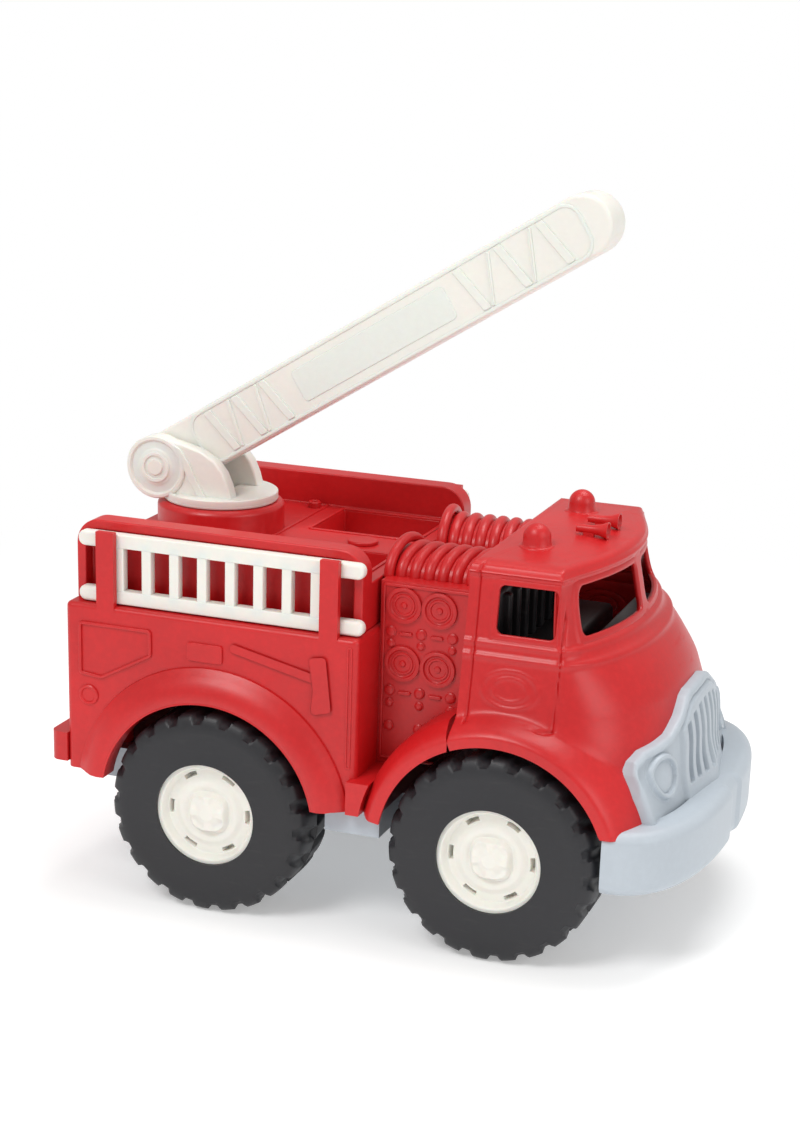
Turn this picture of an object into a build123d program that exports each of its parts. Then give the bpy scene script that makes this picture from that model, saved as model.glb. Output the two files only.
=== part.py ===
from build123d import *
import math
import os

os.makedirs("parts", exist_ok=True)

# Toy fire engine in moulded plastic. Millimetres, +X forward, +Y to the truck's left,
# +Z up, ground at z = 0. The boom is modelled raised by boom_angle.

# ---------------------------------------------------------------- wheels and axles
half_width = 79.4          # outer face of the tyres
wheelbase = 118.0
rear_axle_x = -62.0
tyre_radius = 41.8
tyre_width = 33.0
tyre_wall = 4.0
tyre_shoulder = 3.0
hub_radius = 21.2
hub_dish = 2.9             # tyre's outer face to the hub plate
hub_plate = 4.0
hub_rim_lip = 1.5
hub_boss_radius = 8.0
boss_gap = 0.3
axle_radius = 3.0
axle_clearance = 0.1
seat_clearance = 0.05

front_axle_x = rear_axle_x + wheelbase
axle_z = tyre_radius
inner_face_y = half_width - tyre_width
hub_face_y = half_width - hub_dish

# ---------------------------------------------------------------- body and fenders
shell_wall = 2.5
tail_overhang = 64.2       # rear axle back to the body's rear face
body_to_front_axle = 57.2
body_inset = 7.1           # tyre face in to the body side
body_bottom_z = 50.5
ledge_z = 120.0
body_corner = 3.0
body_top_round = 2.0
arch_gap = 3.8             # tyre to wheel arch
arch_land = 1.5            # red left between a wheel arch and the next piece
lip_inset = 0.4
fender_rear_radius = 59.0
fender_front_radius = 55.0
fender_front_end_z = 61.0  # front fenders stop above the bumper
step_depth = 7.8
step_low_z = 52.6
step_high_z = 64.7
step_corner = 4.0
board_high_z = 64.0
board_step = 3.7           # body side out to the running board's edge
boss_radius = 4.0
boss_height = 18.0
boss_top_wall = 3.0
screw_radius = 1.5
screw_head_radius = 2.8
screw_head_height = 1.3
screw_head_sink = 1.4      # counterbore depth, so that no head stands proud
screw_head_gap = 0.2
screw_y = 34.0

body_rear_x = rear_axle_x - tail_overhang
body_front_x = front_axle_x - body_to_front_axle
body_half_width = half_width - body_inset
fender_lip_y = half_width - lip_inset
board_half_width = body_half_width + board_step
arch_radius = tyre_radius + arch_gap

# ---------------------------------------------------------------- deck and rails
deck_z = 138.5
rail_top_z = 152.5
rail_inset = 18.3          # body side in to the rail's inner face
rail_panel = 4.5
rail_rim = 5.5
rail_corner = 10.0
rail_border = 4.0
deck_rear_gap = 1.5
deck_front_gap = 1.8
bay_rear_x = -56.0
bay_length = 46.0
bay_near_y = 13.0
bay_margin = 4.0           # bay's outer side to the rail
bay_depth = 10.0
plug_x = -28.0
plug_radius = 6.3
plug_height = 1.6
collar_x = -91.5
collar_radius = 26.3
collar_top_z = 150.5
collar_chamfer = 1.5

rail_inner_y = body_half_width - rail_inset
deck_rear_x = body_rear_x + deck_rear_gap
deck_front_x = body_front_x - deck_front_gap
bay_front_x = bay_rear_x + bay_length
bay_far_y = rail_inner_y - bay_margin

# ---------------------------------------------------------------- pump section and hose coils
cab_to_front_axle = 18.5
pump_inset = 23.3          # body side in to the pump panel
pump_low_z = 64.0
gauge_radius = 7.2
gauge_ring = 1.5
gauge_height = 1.2
gauge_places = ((9.7, 9.0), (24.2, 9.5), (9.7, 32.5), (24.2, 33.0))   # forward, down
coil_y = 26.0
coil_half_width = 17.0
coil_height = 11.0
coil_end_height = 14.0
coil_end_length = 4.4
coil_turns = 5
coil_turn_gap = 1.6
coil_pitch = 5.8
coil_turn_width = 3.4
coil_groove = 2.0
coil_end_step = 1.0
coil_cab_gap = 0.2

cab_rear_x = front_axle_x - cab_to_front_axle
pump_half_width = body_half_width - pump_inset

# ---------------------------------------------------------------- cab
# height, reach past the front axle, and inset of the side from the tyre's outer face
cab_levels = ((58.0, 58.0, 3.9), (80.0, 59.5, 6.4), (99.0, 57.0, 12.4),
              (118.0, 45.0, 15.9), (129.0, 34.5, 17.9), (148.0, 30.0, 21.4))
roof_levels = ((148.0, 31.0, 20.4), (151.0, 31.5, 20.4), (153.5, 27.5, 24.4),
               (155.5, 14.0, 45.4))
cab_power = 2.3            # squareness of the rounded front
cab_straight = 33.0        # straight side behind the rounded front
roof_wall_extra = 1.5
window_low_z = 127.5
window_high_z = 145.5
window_rear = 6.5          # side window, measured back and forward of the front axle
window_front = 17.0
windscreen_rear = 19.5
windscreen_drop = 1.0
windscreen_top_drop = 0.0
pillar_half = 2.6
pane_inset = 33.4
beacon_back = 1.0
beacon_y = 31.0
beacon_radius = 5.4
beacon_flange = 1.6
beacon_flange_z = 156.6
beacon_top_z = 163.6
horn_forward = 8.0
horn_length = 13.0
horn_y = 8.5
horn_z = 157.6
horn_radii = (1.2, 3.4)
horn_stand = (3.0, 7.0, 1.2)   # start, end and half-width of its stand
interior_gap = 0.3
interior_floor = 3.0
interior_side_gap = 3.7    # to the cab's narrowest inner side
seat_front = 10.0
seat_back_rear = 7.0
seat_top_z = 112.0
back_top_z = 141.0
dash_rear = 20.0
dash_front = 36.0
dash_top_z = 124.0

roof_root_z = roof_levels[0][0] + 2.0

# ---------------------------------------------------------------- grille and bumper
grille_depth = 5.0
grille_gap = 0.15
grille_peak_z = 99.5
grille_foot_half = 66.0
bumper_low_z = 35.0
bumper_high_z = 61.0
bumper_round = 4.0
bumper_reach = 78.0        # past the front axle
bumper_inset = 1.4
bumper_back = 43.0
bumper_shelf = 52.0
bumper_wall = 7.0
fender_seat_gap = 0.05
headlight_y = 46.0
headlight_z = 73.0
headlight_radius = 9.0
headlight_back = 52.0
headlight_length = 14.0
grille_slots = 6
slot_pitch = 7.6
slot_width = 3.2
slot_low_z = 66.0
slot_high_z = 91.0
slot_depth = 2.0

bumper_front_x = front_axle_x + bumper_reach
bumper_rear_x = front_axle_x + bumper_back
bumper_half_width = half_width - bumper_inset
grille_foot_z = cab_levels[0][0] - 0.1

# ---------------------------------------------------------------- chassis
chassis_gap = 2.4          # frame rail to the tyre's inner face
chassis_low_z = 37.5
chassis_front = 42.0       # past the front axle
chassis_plate = 3.0
cross_wall = 3.0
bearing_length = 8.0
bearing_half = 7.0
bearing_drop = 5.5
wing_gap = 2.0
wing_inset = 6.0
wing_depth = 10.0
arm_half = 8.0
arm_drop = (9.0, 2.0)
arm_gap = 0.5

chassis_half_width = inner_face_y - chassis_gap
chassis_front_x = front_axle_x + chassis_front

# ---------------------------------------------------------------- turntable and boom
stem_radius = 17.5
stem_clearance = 0.3
turntable_radius = 23.6
turntable_thickness = 3.6
turntable_round = 1.0
seat_gap = 0.2
ring_thickness = 3.0
ring_depth = 3.2
ring_gap = 0.3
stem_tail = 1.5
pivot_x = -113.0
pivot_z = 164.6
boom_angle = 32.0
boom_length = 216.0
boom_height = 24.0
boom_width = 20.0
boom_wall = 2.5
boom_heel = 18.0           # solid length round the pivot
ear_gap = 0.4
ear_thickness = 6.5
ear_radius = 13.0
pin_radius = 4.0
pin_clearance = 0.1
head_thickness = 1.2
head_radius = 6.4

retainer_high_z = deck_z - shell_wall - ring_gap
retainer_low_z = retainer_high_z - ring_depth

# ---------------------------------------------------------------- side ladders
ladder_thickness = 4.6
ladder_gap = 0.4
ladder_rear = 4.6          # body's rear face to the rail ends
ladder_front = 0.3
ladder_low_z = 120.4
ladder_high_z = 149.0
ladder_rail_height = 6.4
ladder_rungs = 8
ladder_rung_width = 4.2
first_rung = 15.6          # rail end to the first rung
rung_pitch = 11.9
post_rear = 17.9           # body's rear face to the post's middle
post_front = 12.5
post_width = 7.6
post_thickness = 2.8
post_root = 5.0
post_top_z = 149.9
left_ladder_back = 4.5     # the left ladder sits this much further back

ladder_rear_x = body_rear_x + ladder_rear
ladder_front_x = body_front_x + ladder_front
ladder_outer_y = body_half_width - post_thickness - ladder_gap
post_places = (body_rear_x + post_rear, body_front_x - post_front)


# ---------------------------------------------------------------- helpers
def block(x0, x1, y0, y1, z0, z1):
    """Box between two corners."""
    return Pos((x0 + x1) / 2, (y0 + y1) / 2, (z0 + z1) / 2) * Box(x1 - x0, y1 - y0, z1 - z0)


def rod_y(x, z, y0, y1, radius):
    """Cylinder along Y."""
    return Pos(x, (y0 + y1) / 2, z) * Rot(90, 0, 0) * Cylinder(radius, y1 - y0)


def rod_z(x, y, z0, z1, radius):
    """Cylinder along Z."""
    return Pos(x, y, (z0 + z1) / 2) * Cylinder(radius, z1 - z0)


def side_prism(face, y0, y1):
    """A face drawn in X and Z, carried along Y."""
    plane = Plane.XZ.offset(-y1)
    return extrude(plane * face, y1 - y0)


def save(shape, name, colour):
    shape.label = name
    shape.color = Color(*colour)
    export_step(shape, f"parts/{name}.step")


RED = (0.72, 0.08, 0.10)
WHITE = (0.93, 0.92, 0.88)
GREY = (0.70, 0.74, 0.78)
BLACK = (0.08, 0.08, 0.09)

def fender(axle_x, outer_radius, side):
    """Flared ring round a wheel arch, hollow behind, cut off at the sill."""
    lip = fender_lip_y
    root = body_half_width
    mid = (arch_radius + outer_radius) / 2
    outer = [
        (lip, arch_radius),
        (lip - 0.6, arch_radius + (outer_radius - arch_radius) * 0.30),
        ((lip + root) / 2, mid + (outer_radius - arch_radius) * 0.18),
        (root, outer_radius),
    ]
    inner = [
        (root - shell_wall, outer_radius),
        (root - shell_wall, mid),
        (lip - shell_wall - 1.2, arch_radius + shell_wall + 1.0),
        (root - shell_wall, arch_radius + shell_wall + 1.0),
        (root - shell_wall, arch_radius),
    ]
    points = [(side * y, axle_z + r) for y, r in outer + inner]
    section = Pos(axle_x, 0, 0) * (Plane.YZ * make_face(Polyline(*points, close=True)))
    ring = revolve(section, Axis((axle_x, 0, axle_z), (0, 1, 0)), 360)
    keep = block(axle_x - outer_radius - 5, axle_x + outer_radius + 5, -lip - 5, lip + 5,
                 body_bottom_z, axle_z + outer_radius + 5)
    return ring & keep


def arch_cut(axle_x):
    """Space for a wheel and its swing, right across the truck."""
    return rod_y(axle_x, axle_z, -half_width - 5, half_width + 5, arch_radius)


# ---------------------------------------------------------------- lower body shell
def make_body_shell():
    outer = block(body_rear_x, body_front_x, -body_half_width, body_half_width,
                  body_bottom_z, ledge_z)
    outer = fillet(outer.edges().filter_by(Axis.Z), body_corner)
    outer = fillet(outer.faces().sort_by(Axis.Z)[-1].edges(), body_top_round)
    inner_side = body_half_width - shell_wall
    hollow = block(body_rear_x + shell_wall, body_front_x - shell_wall, -inner_side, inner_side,
                   body_bottom_z - 1, ledge_z - shell_wall)
    top_opening = block(body_rear_x + 6, body_front_x - 6, -rail_inner_y + 4, rail_inner_y - 4,
                        ledge_z - 5, ledge_z + 1)
    shell = outer - hollow - top_opening - arch_cut(rear_axle_x)
    for side in (-1, 1):
        wide = fender(rear_axle_x, fender_rear_radius, side)
        front_limit = block(body_rear_x + arch_land, body_front_x, -200, 200, 0, 200)
        shell += wide & front_limit
    step = block(body_rear_x - step_depth, body_rear_x, -body_half_width, body_half_width,
                 step_low_z, step_high_z)
    step = fillet(step.edges().filter_by(Axis.Z).group_by(Axis.X)[0], step_corner)
    shell += step
    for side in (-1, 1):
        low, high = sorted((side * body_half_width, side * (body_half_width - post_thickness)))
        for post_x in post_places:
            shell += block(post_x - post_width / 2, post_x + post_width / 2, low, high,
                           ledge_z - post_root, post_top_z)
        low, high = sorted((side * pump_half_width, side * board_half_width))
        board = block(body_front_x - shell_wall, front_axle_x - arch_radius, low, high,
                      body_bottom_z, board_high_z)
        shell += board - rod_y(front_axle_x, axle_z, -200, 200, fender_front_radius)
    for screw_x, screw_y in screw_places():
        shell += rod_z(screw_x, screw_y, body_bottom_z, body_bottom_z + boss_height, boss_radius)
    for screw_x, screw_y in screw_places():
        shell -= rod_z(screw_x, screw_y, body_bottom_z - 1, body_bottom_z + boss_height - boss_top_wall,
                       screw_radius)
    return shell


def screw_places():
    """Where the four body screws go up through the chassis."""
    rear = body_rear_x + shell_wall + boss_radius - 0.5
    front = body_front_x - shell_wall - boss_radius + 0.5
    return ((rear, -screw_y), (rear, screw_y), (front, -screw_y), (front, screw_y))


# ---------------------------------------------------------------- deck with rails
def rail_outline():
    """Side outline of a rail panel with two rounded top corners."""
    length = deck_front_x - deck_rear_x
    height = rail_top_z - ledge_z
    middle = Pos((deck_front_x + deck_rear_x) / 2, (rail_top_z + ledge_z) / 2)
    face = middle * Rectangle(length, height)
    top = face.vertices().group_by(Axis.Y)[-1]
    return fillet(top, rail_corner), length, height


def make_deck():
    panel, length, height = rail_outline()
    centre = Pos(panel.center().X, (rail_top_z + ledge_z) / 2)
    window = centre * Pos(0, -rail_border / 2) * Rectangle(length - 2 * rail_border,
                                                           height - rail_border + 0.01)
    window = fillet(window.vertices().group_by(Axis.Y)[-1], rail_corner - rail_border)
    rear, front = deck_rear_x, deck_front_x
    tray = block(rear, front, -rail_inner_y, rail_inner_y, deck_z - shell_wall, deck_z)
    tail = block(rear, rear + shell_wall, -rail_inner_y, rail_inner_y, ledge_z, deck_z)
    nose = block(front - shell_wall, front, -rail_inner_y, rail_inner_y, ledge_z, deck_z)
    deck = tray + tail + nose
    for side in (-1, 1):
        low, high = sorted((side * rail_inner_y, side * (rail_inner_y + rail_panel)))
        deck += side_prism(panel, low, high)
        low, high = sorted((side * (rail_inner_y + rail_panel),
                            side * (rail_inner_y + rail_panel + rail_rim)))
        deck += side_prism(panel - window, low, high)
    for side in (-1, 1):
        near, far = sorted((side * bay_near_y, side * bay_far_y))
        bay = block(bay_rear_x, bay_front_x, near, far, deck_z - bay_depth, deck_z + 1)
        bay_shell = block(bay_rear_x - shell_wall, bay_front_x + shell_wall, near - shell_wall,
                          far + shell_wall, deck_z - bay_depth - shell_wall, deck_z)
        deck = (deck + bay_shell) - bay
    collar = rod_z(collar_x, 0, deck_z, collar_top_z, collar_radius)
    collar = chamfer(collar.edges().sort_by(Axis.Z)[-1], collar_chamfer)
    bore = rod_z(collar_x, 0, deck_z - 10, collar_top_z + 1, stem_radius + stem_clearance)
    return deck + collar - bore


def make_deck_plug():
    """Round cap pressed on the deck's centre strip."""
    cap = rod_z(plug_x, 0, deck_z, deck_z + plug_height, plug_radius)
    return fillet(cap.edges().sort_by(Axis.Z)[-1], 0.6)


# ---------------------------------------------------------------- pump section
def make_pump_module():
    outer = block(body_front_x, cab_rear_x, -pump_half_width, pump_half_width,
                  pump_low_z, deck_z)
    inner = block(body_front_x + shell_wall, cab_rear_x - shell_wall,
                  -pump_half_width + shell_wall, pump_half_width - shell_wall,
                  pump_low_z - 1, deck_z - shell_wall)
    module = outer - inner - rod_y(front_axle_x, axle_z, -200, 200, fender_front_radius)
    for side in (-1, 1):
        low, high = sorted((side * pump_half_width, side * (pump_half_width + gauge_height)))
        for forward, down in gauge_places:
            x, z = body_front_x + forward, deck_z - down
            ring = rod_y(x, z, low, high, gauge_radius)
            ring -= rod_y(x, z, low, high, gauge_radius - gauge_ring)
            module += ring
    return module


# ---------------------------------------------------------------- hose coils
def arch_block(x0, x1, centre_y, half_span, height):
    """Half-ellipse standing on the deck, carried along X."""
    face = Plane.YZ.offset(x0) * (Pos(centre_y, deck_z) * Ellipse(half_span, height))
    solid = extrude(face, x1 - x0)
    return solid & block(x0 - 1, x1 + 1, centre_y - half_span - 1, centre_y + half_span + 1,
                         deck_z, deck_z + height + 1)


def make_hose_coil(side):
    y = side * coil_y
    first = body_front_x + coil_end_length
    coil = arch_block(first, cab_rear_x - coil_cab_gap, y, coil_half_width - coil_groove,
                      coil_height - coil_groove)
    coil += arch_block(body_front_x, first, y, coil_half_width + coil_end_step, coil_end_height)
    for turn in range(coil_turns):
        x = first + coil_turn_gap + turn * coil_pitch
        coil += arch_block(x, x + coil_turn_width, y, coil_half_width, coil_height)
    return coil


# ---------------------------------------------------------------- cab
def rounded_front(root, front, half):
    """Points along a superellipse from one side round the front to the other."""
    steps = 9
    curve = []
    for i in range(steps):
        a = math.pi * (i / (steps - 1) - 0.5)
        x = root + (front - root) * abs(math.cos(a)) ** (2 / cab_power)
        y = half * math.copysign(abs(math.sin(a)) ** (2 / cab_power), math.sin(a))
        curve.append((x, y))
    return curve


def cab_face(z, reach, side_inset, inset):
    """Level section of the cab: straight sides and a rounded front."""
    rear = cab_rear_x + inset
    shoulder = cab_rear_x + cab_straight
    half = half_width - side_inset - inset
    curve = rounded_front(shoulder, front_axle_x + reach - inset, half)
    wire = Polyline((shoulder, -half), (rear, -half), (rear, half), (shoulder, half))
    return Pos(0, 0, z) * make_face(wire + Spline(*curve))


def cab_solid(levels, inset, low_cut=0.0, high_cut=0.0):
    """Cab volume through its levels, made smaller all round by the inset."""
    faces = []
    last = len(levels) - 1
    for i, (z, reach, side_inset) in enumerate(levels):
        shift = low_cut if i == 0 else (-high_cut if i == last else 0.0)
        faces.append(cab_face(z + shift, reach, side_inset, inset))
    return loft(faces, ruled=True)


def wheelhouse(side):
    """Top skin of a front fender, from its flare inwards to the pump section."""
    low, high = sorted((side * pump_half_width, side * (body_half_width - shell_wall)))
    skin = rod_y(front_axle_x, axle_z, low, high, fender_front_radius)
    skin -= rod_y(front_axle_x, axle_z, low, high, fender_front_radius - shell_wall)
    return skin & block(-200, front_axle_x + 10, low, high, body_bottom_z, 200)


def make_cab_shell():
    lower = cab_solid(cab_levels, 0.0)
    upper = cab_solid(roof_levels, 0.0)
    room = cab_solid(cab_levels, shell_wall, low_cut=-5.0, high_cut=-0.02)
    roof_room = cab_solid(roof_levels[:3], shell_wall + roof_wall_extra,
                         high_cut=shell_wall)
    shell = lower + upper - room - roof_room
    shell -= block(front_axle_x - window_rear, front_axle_x + window_front, -half_width,
                   half_width, window_low_z, window_high_z)
    for side in (-1, 1):
        low, high = sorted((side * pillar_half, side * (half_width - pane_inset)))
        shell -= block(front_axle_x + windscreen_rear, bumper_front_x, low, high,
                       window_low_z - windscreen_drop, window_high_z - windscreen_top_drop)
    shell -= block(cab_rear_x - 1, cab_rear_x + shell_wall + 1, -pump_half_width + shell_wall,
                   pump_half_width - shell_wall, body_bottom_z - 10, ledge_z)
    shell -= arch_cut(front_axle_x)
    shell -= block(body_front_x, front_axle_x, -200, 200, body_bottom_z - 10,
                   axle_z + arch_radius / 2)
    for side in (-1, 1):
        flare = fender(front_axle_x, fender_front_radius, side)
        rear_half = flare & block(-200, front_axle_x, -200, 200, body_bottom_z, 200)
        front_half = flare & block(front_axle_x, 200, -200, 200, fender_front_end_z, 200)
        shell += rear_half + front_half + wheelhouse(side)
    for side in (-1, 1):
        x, y = front_axle_x - beacon_back, side * beacon_y
        beacon = rod_z(x, y, roof_root_z, beacon_top_z - beacon_radius * 0.7, beacon_radius)
        dome = Pos(x, y, beacon_top_z - beacon_radius) * Sphere(beacon_radius)
        flange = rod_z(x, y, roof_root_z, beacon_flange_z, beacon_radius + beacon_flange)
        shell += beacon + dome + flange
        x, y = front_axle_x + horn_forward, side * horn_y
        horn = Pos(x, y, horn_z) * Rot(0, 90, 0) * Cone(
            *horn_radii, horn_length, align=(Align.CENTER, Align.CENTER, Align.MIN))
        start, end, half = horn_stand
        stand = block(x + start, x + end, y - half, y + half, roof_root_z + 2, horn_z)
        shell += horn + stand
    return shell


# ---------------------------------------------------------------- grille and bumper
def bumper_face(z, inset):
    """Level section of the bumper, cut straight at the back."""
    curve = rounded_front(bumper_rear_x, bumper_front_x - inset, bumper_half_width - inset)
    return Pos(0, 0, z) * make_face(Spline(*curve) + Line(curve[-1], curve[0]))


def grille_outline():
    """Front outline of the grille, drawn in Y and Z: flat foot, S-curved sides, low peak."""
    half, peak = grille_foot_half, grille_peak_z
    curve = [(half, 72.0), (half - 6, 84.0), (40.0, 91.0), (22.0, 97.0), (0.0, peak)]
    mirror = [(-y, z) for y, z in reversed(curve)]
    right = Spline(*curve, tangents=[(0, 1), (-1, 0)])
    left = Spline(*mirror, tangents=[(-1, 0), (0, -1)])
    foot = Polyline(mirror[-1], (-half, grille_foot_z), (half, grille_foot_z), curve[0])
    return make_face(right + left + foot)


def make_grille_bumper():
    top_z, top_reach, top_inset = cab_levels[2]
    skin = cab_solid(cab_levels[:3] + ((top_z + 2, top_reach - 1, top_inset + 0.5),), -grille_depth)
    core = cab_solid(cab_levels[:4], -grille_gap, low_cut=-4.0)
    outline = extrude(Plane.YZ.offset(cab_rear_x + 30) * grille_outline(), bumper_front_x)
    grille = (skin - core) & outline & block(bumper_rear_x, 200, -100, 100, 50, 120)
    bar = extrude(bumper_face(bumper_low_z, 0), bumper_high_z - bumper_low_z)
    bar = fillet(bar.faces().sort_by(Axis.Z)[-1].edges().sort_by(Axis.X)[-1], bumper_round)
    pocket = extrude(bumper_face(bumper_low_z - 1, bumper_wall),
                     bumper_high_z - bumper_low_z - bumper_wall / 2 + 1)
    bar = bar - pocket
    bar -= block(bumper_rear_x - 1, front_axle_x + bumper_shelf, -fender_lip_y, fender_lip_y,
                 cab_levels[0][0] - fender_seat_gap, 80)
    bar -= arch_cut(front_axle_x)
    grille += bar - core
    for side in (-1, 1):
        lamp = Pos(front_axle_x + headlight_back, side * headlight_y, headlight_z)
        lamp *= Rot(0, 90, 0) * Cylinder(headlight_radius, headlight_length)
        grille += lamp - core
    for slot in range(grille_slots):
        y = (slot - (grille_slots - 1) / 2) * slot_pitch
        grille -= block(front_axle_x + cab_levels[1][1] + grille_depth - slot_depth, 200,
                        y - slot_width / 2, y + slot_width / 2, slot_low_z,
                        slot_high_z - abs(y) * 0.2)
    return grille


# ---------------------------------------------------------------- cab interior
def make_cab_interior():
    """Black floor, bench, seat back and dash, inside the cab walls."""
    room = cab_solid(cab_levels, shell_wall + interior_gap)
    low = axle_z + fender_front_radius + interior_gap
    half = half_width - cab_levels[-1][2] - shell_wall - interior_side_gap
    floor = room & block(cab_rear_x, front_axle_x + dash_front + 3, -90, 90, low,
                         low + interior_floor)
    seat = room & block(cab_rear_x, front_axle_x + seat_front, -half, half, low, seat_top_z)
    back = room & block(cab_rear_x, front_axle_x - seat_back_rear, -half, half, low, back_top_z)
    dash = room & block(front_axle_x + dash_rear, front_axle_x + dash_front, -half, half, low,
                        dash_top_z)
    return floor + seat + back + dash


# ---------------------------------------------------------------- chassis
def make_chassis():
    """Flat plate on two rails, with axle bearings, side wings and an arm to the bumper."""
    top = body_bottom_z
    half = chassis_half_width
    frame = block(body_rear_x, chassis_front_x, -half, half, top - chassis_plate, top)
    wing_rear = rear_axle_x + arch_radius + wing_gap
    wing_front = front_axle_x - arch_radius - wing_gap
    for side in (-1, 1):
        low, high = sorted((side * half, side * (half - shell_wall)))
        frame += block(body_rear_x, chassis_front_x, low, high, chassis_low_z, top)
        low, high = sorted((side * (half - 1), side * (board_half_width - wing_inset)))
        wing = block(wing_rear, wing_front, low, high, top - wing_depth, top)
        low, high = sorted((side * (half - 3),
                            side * (board_half_width - wing_inset - shell_wall)))
        hollow = block(wing_rear + shell_wall, wing_front - shell_wall, low, high,
                       top - wing_depth - 1, top - shell_wall)
        frame += wing - hollow
        low, high = sorted((side * half, side * (half - bearing_length)))
        for axle_x in (rear_axle_x, front_axle_x):
            frame += block(axle_x - bearing_half, axle_x + bearing_half, low, high,
                           axle_z - bearing_drop, top)
    frame += block(chassis_front_x - cross_wall, chassis_front_x, -half, half, chassis_low_z, top)
    frame += block(body_rear_x, body_rear_x + cross_wall, -half, half, chassis_low_z, top)
    frame += block(chassis_front_x, bumper_front_x - bumper_wall - arm_gap, -arm_half, arm_half,
                   top - arm_drop[0], top - arm_drop[1])
    for axle_x in (rear_axle_x, front_axle_x):
        frame -= rod_y(axle_x, axle_z, -200, 200, axle_radius + axle_clearance)
    low = top - chassis_plate
    for screw_x, y in screw_places():
        frame -= rod_z(screw_x, y, low - 1, top + 1, screw_radius)
        frame -= rod_z(screw_x, y, low - 1, low + screw_head_sink,
                       screw_head_radius + screw_head_gap)
    return frame


def make_body_screws():
    """Four screws from below: a sunk flat head and a plain shank."""
    group = []
    seat = body_bottom_z - chassis_plate + screw_head_sink
    for screw_x, y in screw_places():
        head = rod_z(screw_x, y, seat - screw_head_height, seat, screw_head_radius)
        shank = rod_z(screw_x, y, seat, body_bottom_z + boss_height - boss_top_wall - 1,
                      screw_radius)
        group.append(head + shank)
    return Compound(group)


# ---------------------------------------------------------------- turntable and boom
def ear_outline():
    """Side outline of one fork ear: a round head on a web that spreads on the disc."""
    base = collar_top_z + seat_gap + turntable_thickness - 0.5
    head = Pos(pivot_x, pivot_z) * Circle(ear_radius)
    web = make_face(Polyline(
        (pivot_x - 4, base), (pivot_x - 4, pivot_z), (pivot_x + 6, pivot_z + 10.5),
        (pivot_x + 20, pivot_z + 6.5), (pivot_x + 28, pivot_z + 1.0), (pivot_x + 32.5, base + 5),
        (pivot_x + 34.5, base), close=True))
    return head + web


def make_turntable():
    low = collar_top_z + seat_gap
    disc = rod_z(collar_x, 0, low, low + turntable_thickness, turntable_radius)
    disc = fillet(disc.edges().sort_by(Axis.Z)[-1], turntable_round)
    stem = rod_z(collar_x, 0, retainer_low_z - stem_tail, low, stem_radius)
    stem -= rod_z(collar_x, 0, retainer_low_z - stem_tail - 1, low, stem_radius - shell_wall)
    table = disc + stem
    inner = boom_width / 2 + ear_gap
    for side in (-1, 1):
        near, far = sorted((side * inner, side * (inner + ear_thickness)))
        table += side_prism(ear_outline(), near, far)
    pocket = block(pivot_x - 20, collar_x + turntable_radius - 8, -inner, inner,
                   pivot_z - boom_height / 2 - ear_gap, pivot_z)
    return table - pocket - rod_y(pivot_x, pivot_z, -50, 50, pin_radius)


def make_turntable_retainer():
    """Snap ring under the deck that keeps the turntable in its collar."""
    ring = rod_z(collar_x, 0, retainer_low_z, retainer_high_z, stem_radius + ring_thickness)
    return ring - rod_z(collar_x, 0, retainer_low_z, retainer_high_z, stem_radius)


def raise_boom(shape):
    """Turn a level boom up to its modelled angle about the pivot."""
    return Pos(pivot_x, 0, pivot_z) * Rot(0, -boom_angle, 0) * shape


def make_boom():
    half = boom_height / 2
    side = Pos(boom_length / 2 - half / 2, 0) * Rectangle(boom_length - half, boom_height)
    side += Pos(boom_length - half, 0) * Circle(half)
    side += Circle(half)
    beam = side_prism(side, -boom_width / 2, boom_width / 2)
    beam = beam - block(boom_heel, boom_length - half, -boom_width / 2 + boom_wall,
                        boom_width / 2 - boom_wall, -half - 1, half - boom_wall)
    beam -= rod_y(0, 0, -50, 50, pin_radius + pin_clearance)
    return raise_boom(beam)


def make_boom_pin():
    """Pin through both ears and the boom, with a flat head on each side."""
    reach = boom_width / 2 + ear_gap + ear_thickness
    pin = rod_y(pivot_x, pivot_z, -reach, reach, pin_radius)
    for side in (-1, 1):
        low, high = sorted((side * reach, side * (reach + head_thickness)))
        pin += rod_y(pivot_x, pivot_z, low, high, head_radius)
    return pin


# ---------------------------------------------------------------- side ladders
def make_side_ladder(side):
    """Two rails and their rungs, flat against the posts."""
    rail_length = ladder_front_x - ladder_rear_x
    centre_x = (ladder_front_x + ladder_rear_x) / 2
    half = ladder_rail_height / 2
    face = None
    for rail_z in (ladder_low_z + half, ladder_high_z - half):
        rail = Pos(centre_x, rail_z) * RectangleRounded(rail_length, ladder_rail_height, half - 0.2)
        face = rail if face is None else face + rail
    mid_z = (ladder_low_z + ladder_high_z) / 2
    for rung in range(ladder_rungs):
        rung_x = ladder_rear_x + first_rung + ladder_rung_width / 2 + rung * rung_pitch
        face += Pos(rung_x, mid_z) * Rectangle(
            ladder_rung_width, ladder_high_z - ladder_low_z - ladder_rail_height)
    low, high = sorted((side * ladder_outer_y, side * (ladder_outer_y - ladder_thickness)))
    back = left_ladder_back if side > 0 else 0.0
    return Pos(-back, 0, 0) * side_prism(face, low, high)


# ---------------------------------------------------------------- wheels
def make_axle(axle_x):
    return rod_y(axle_x, axle_z, -hub_face_y, hub_face_y, axle_radius)


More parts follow.
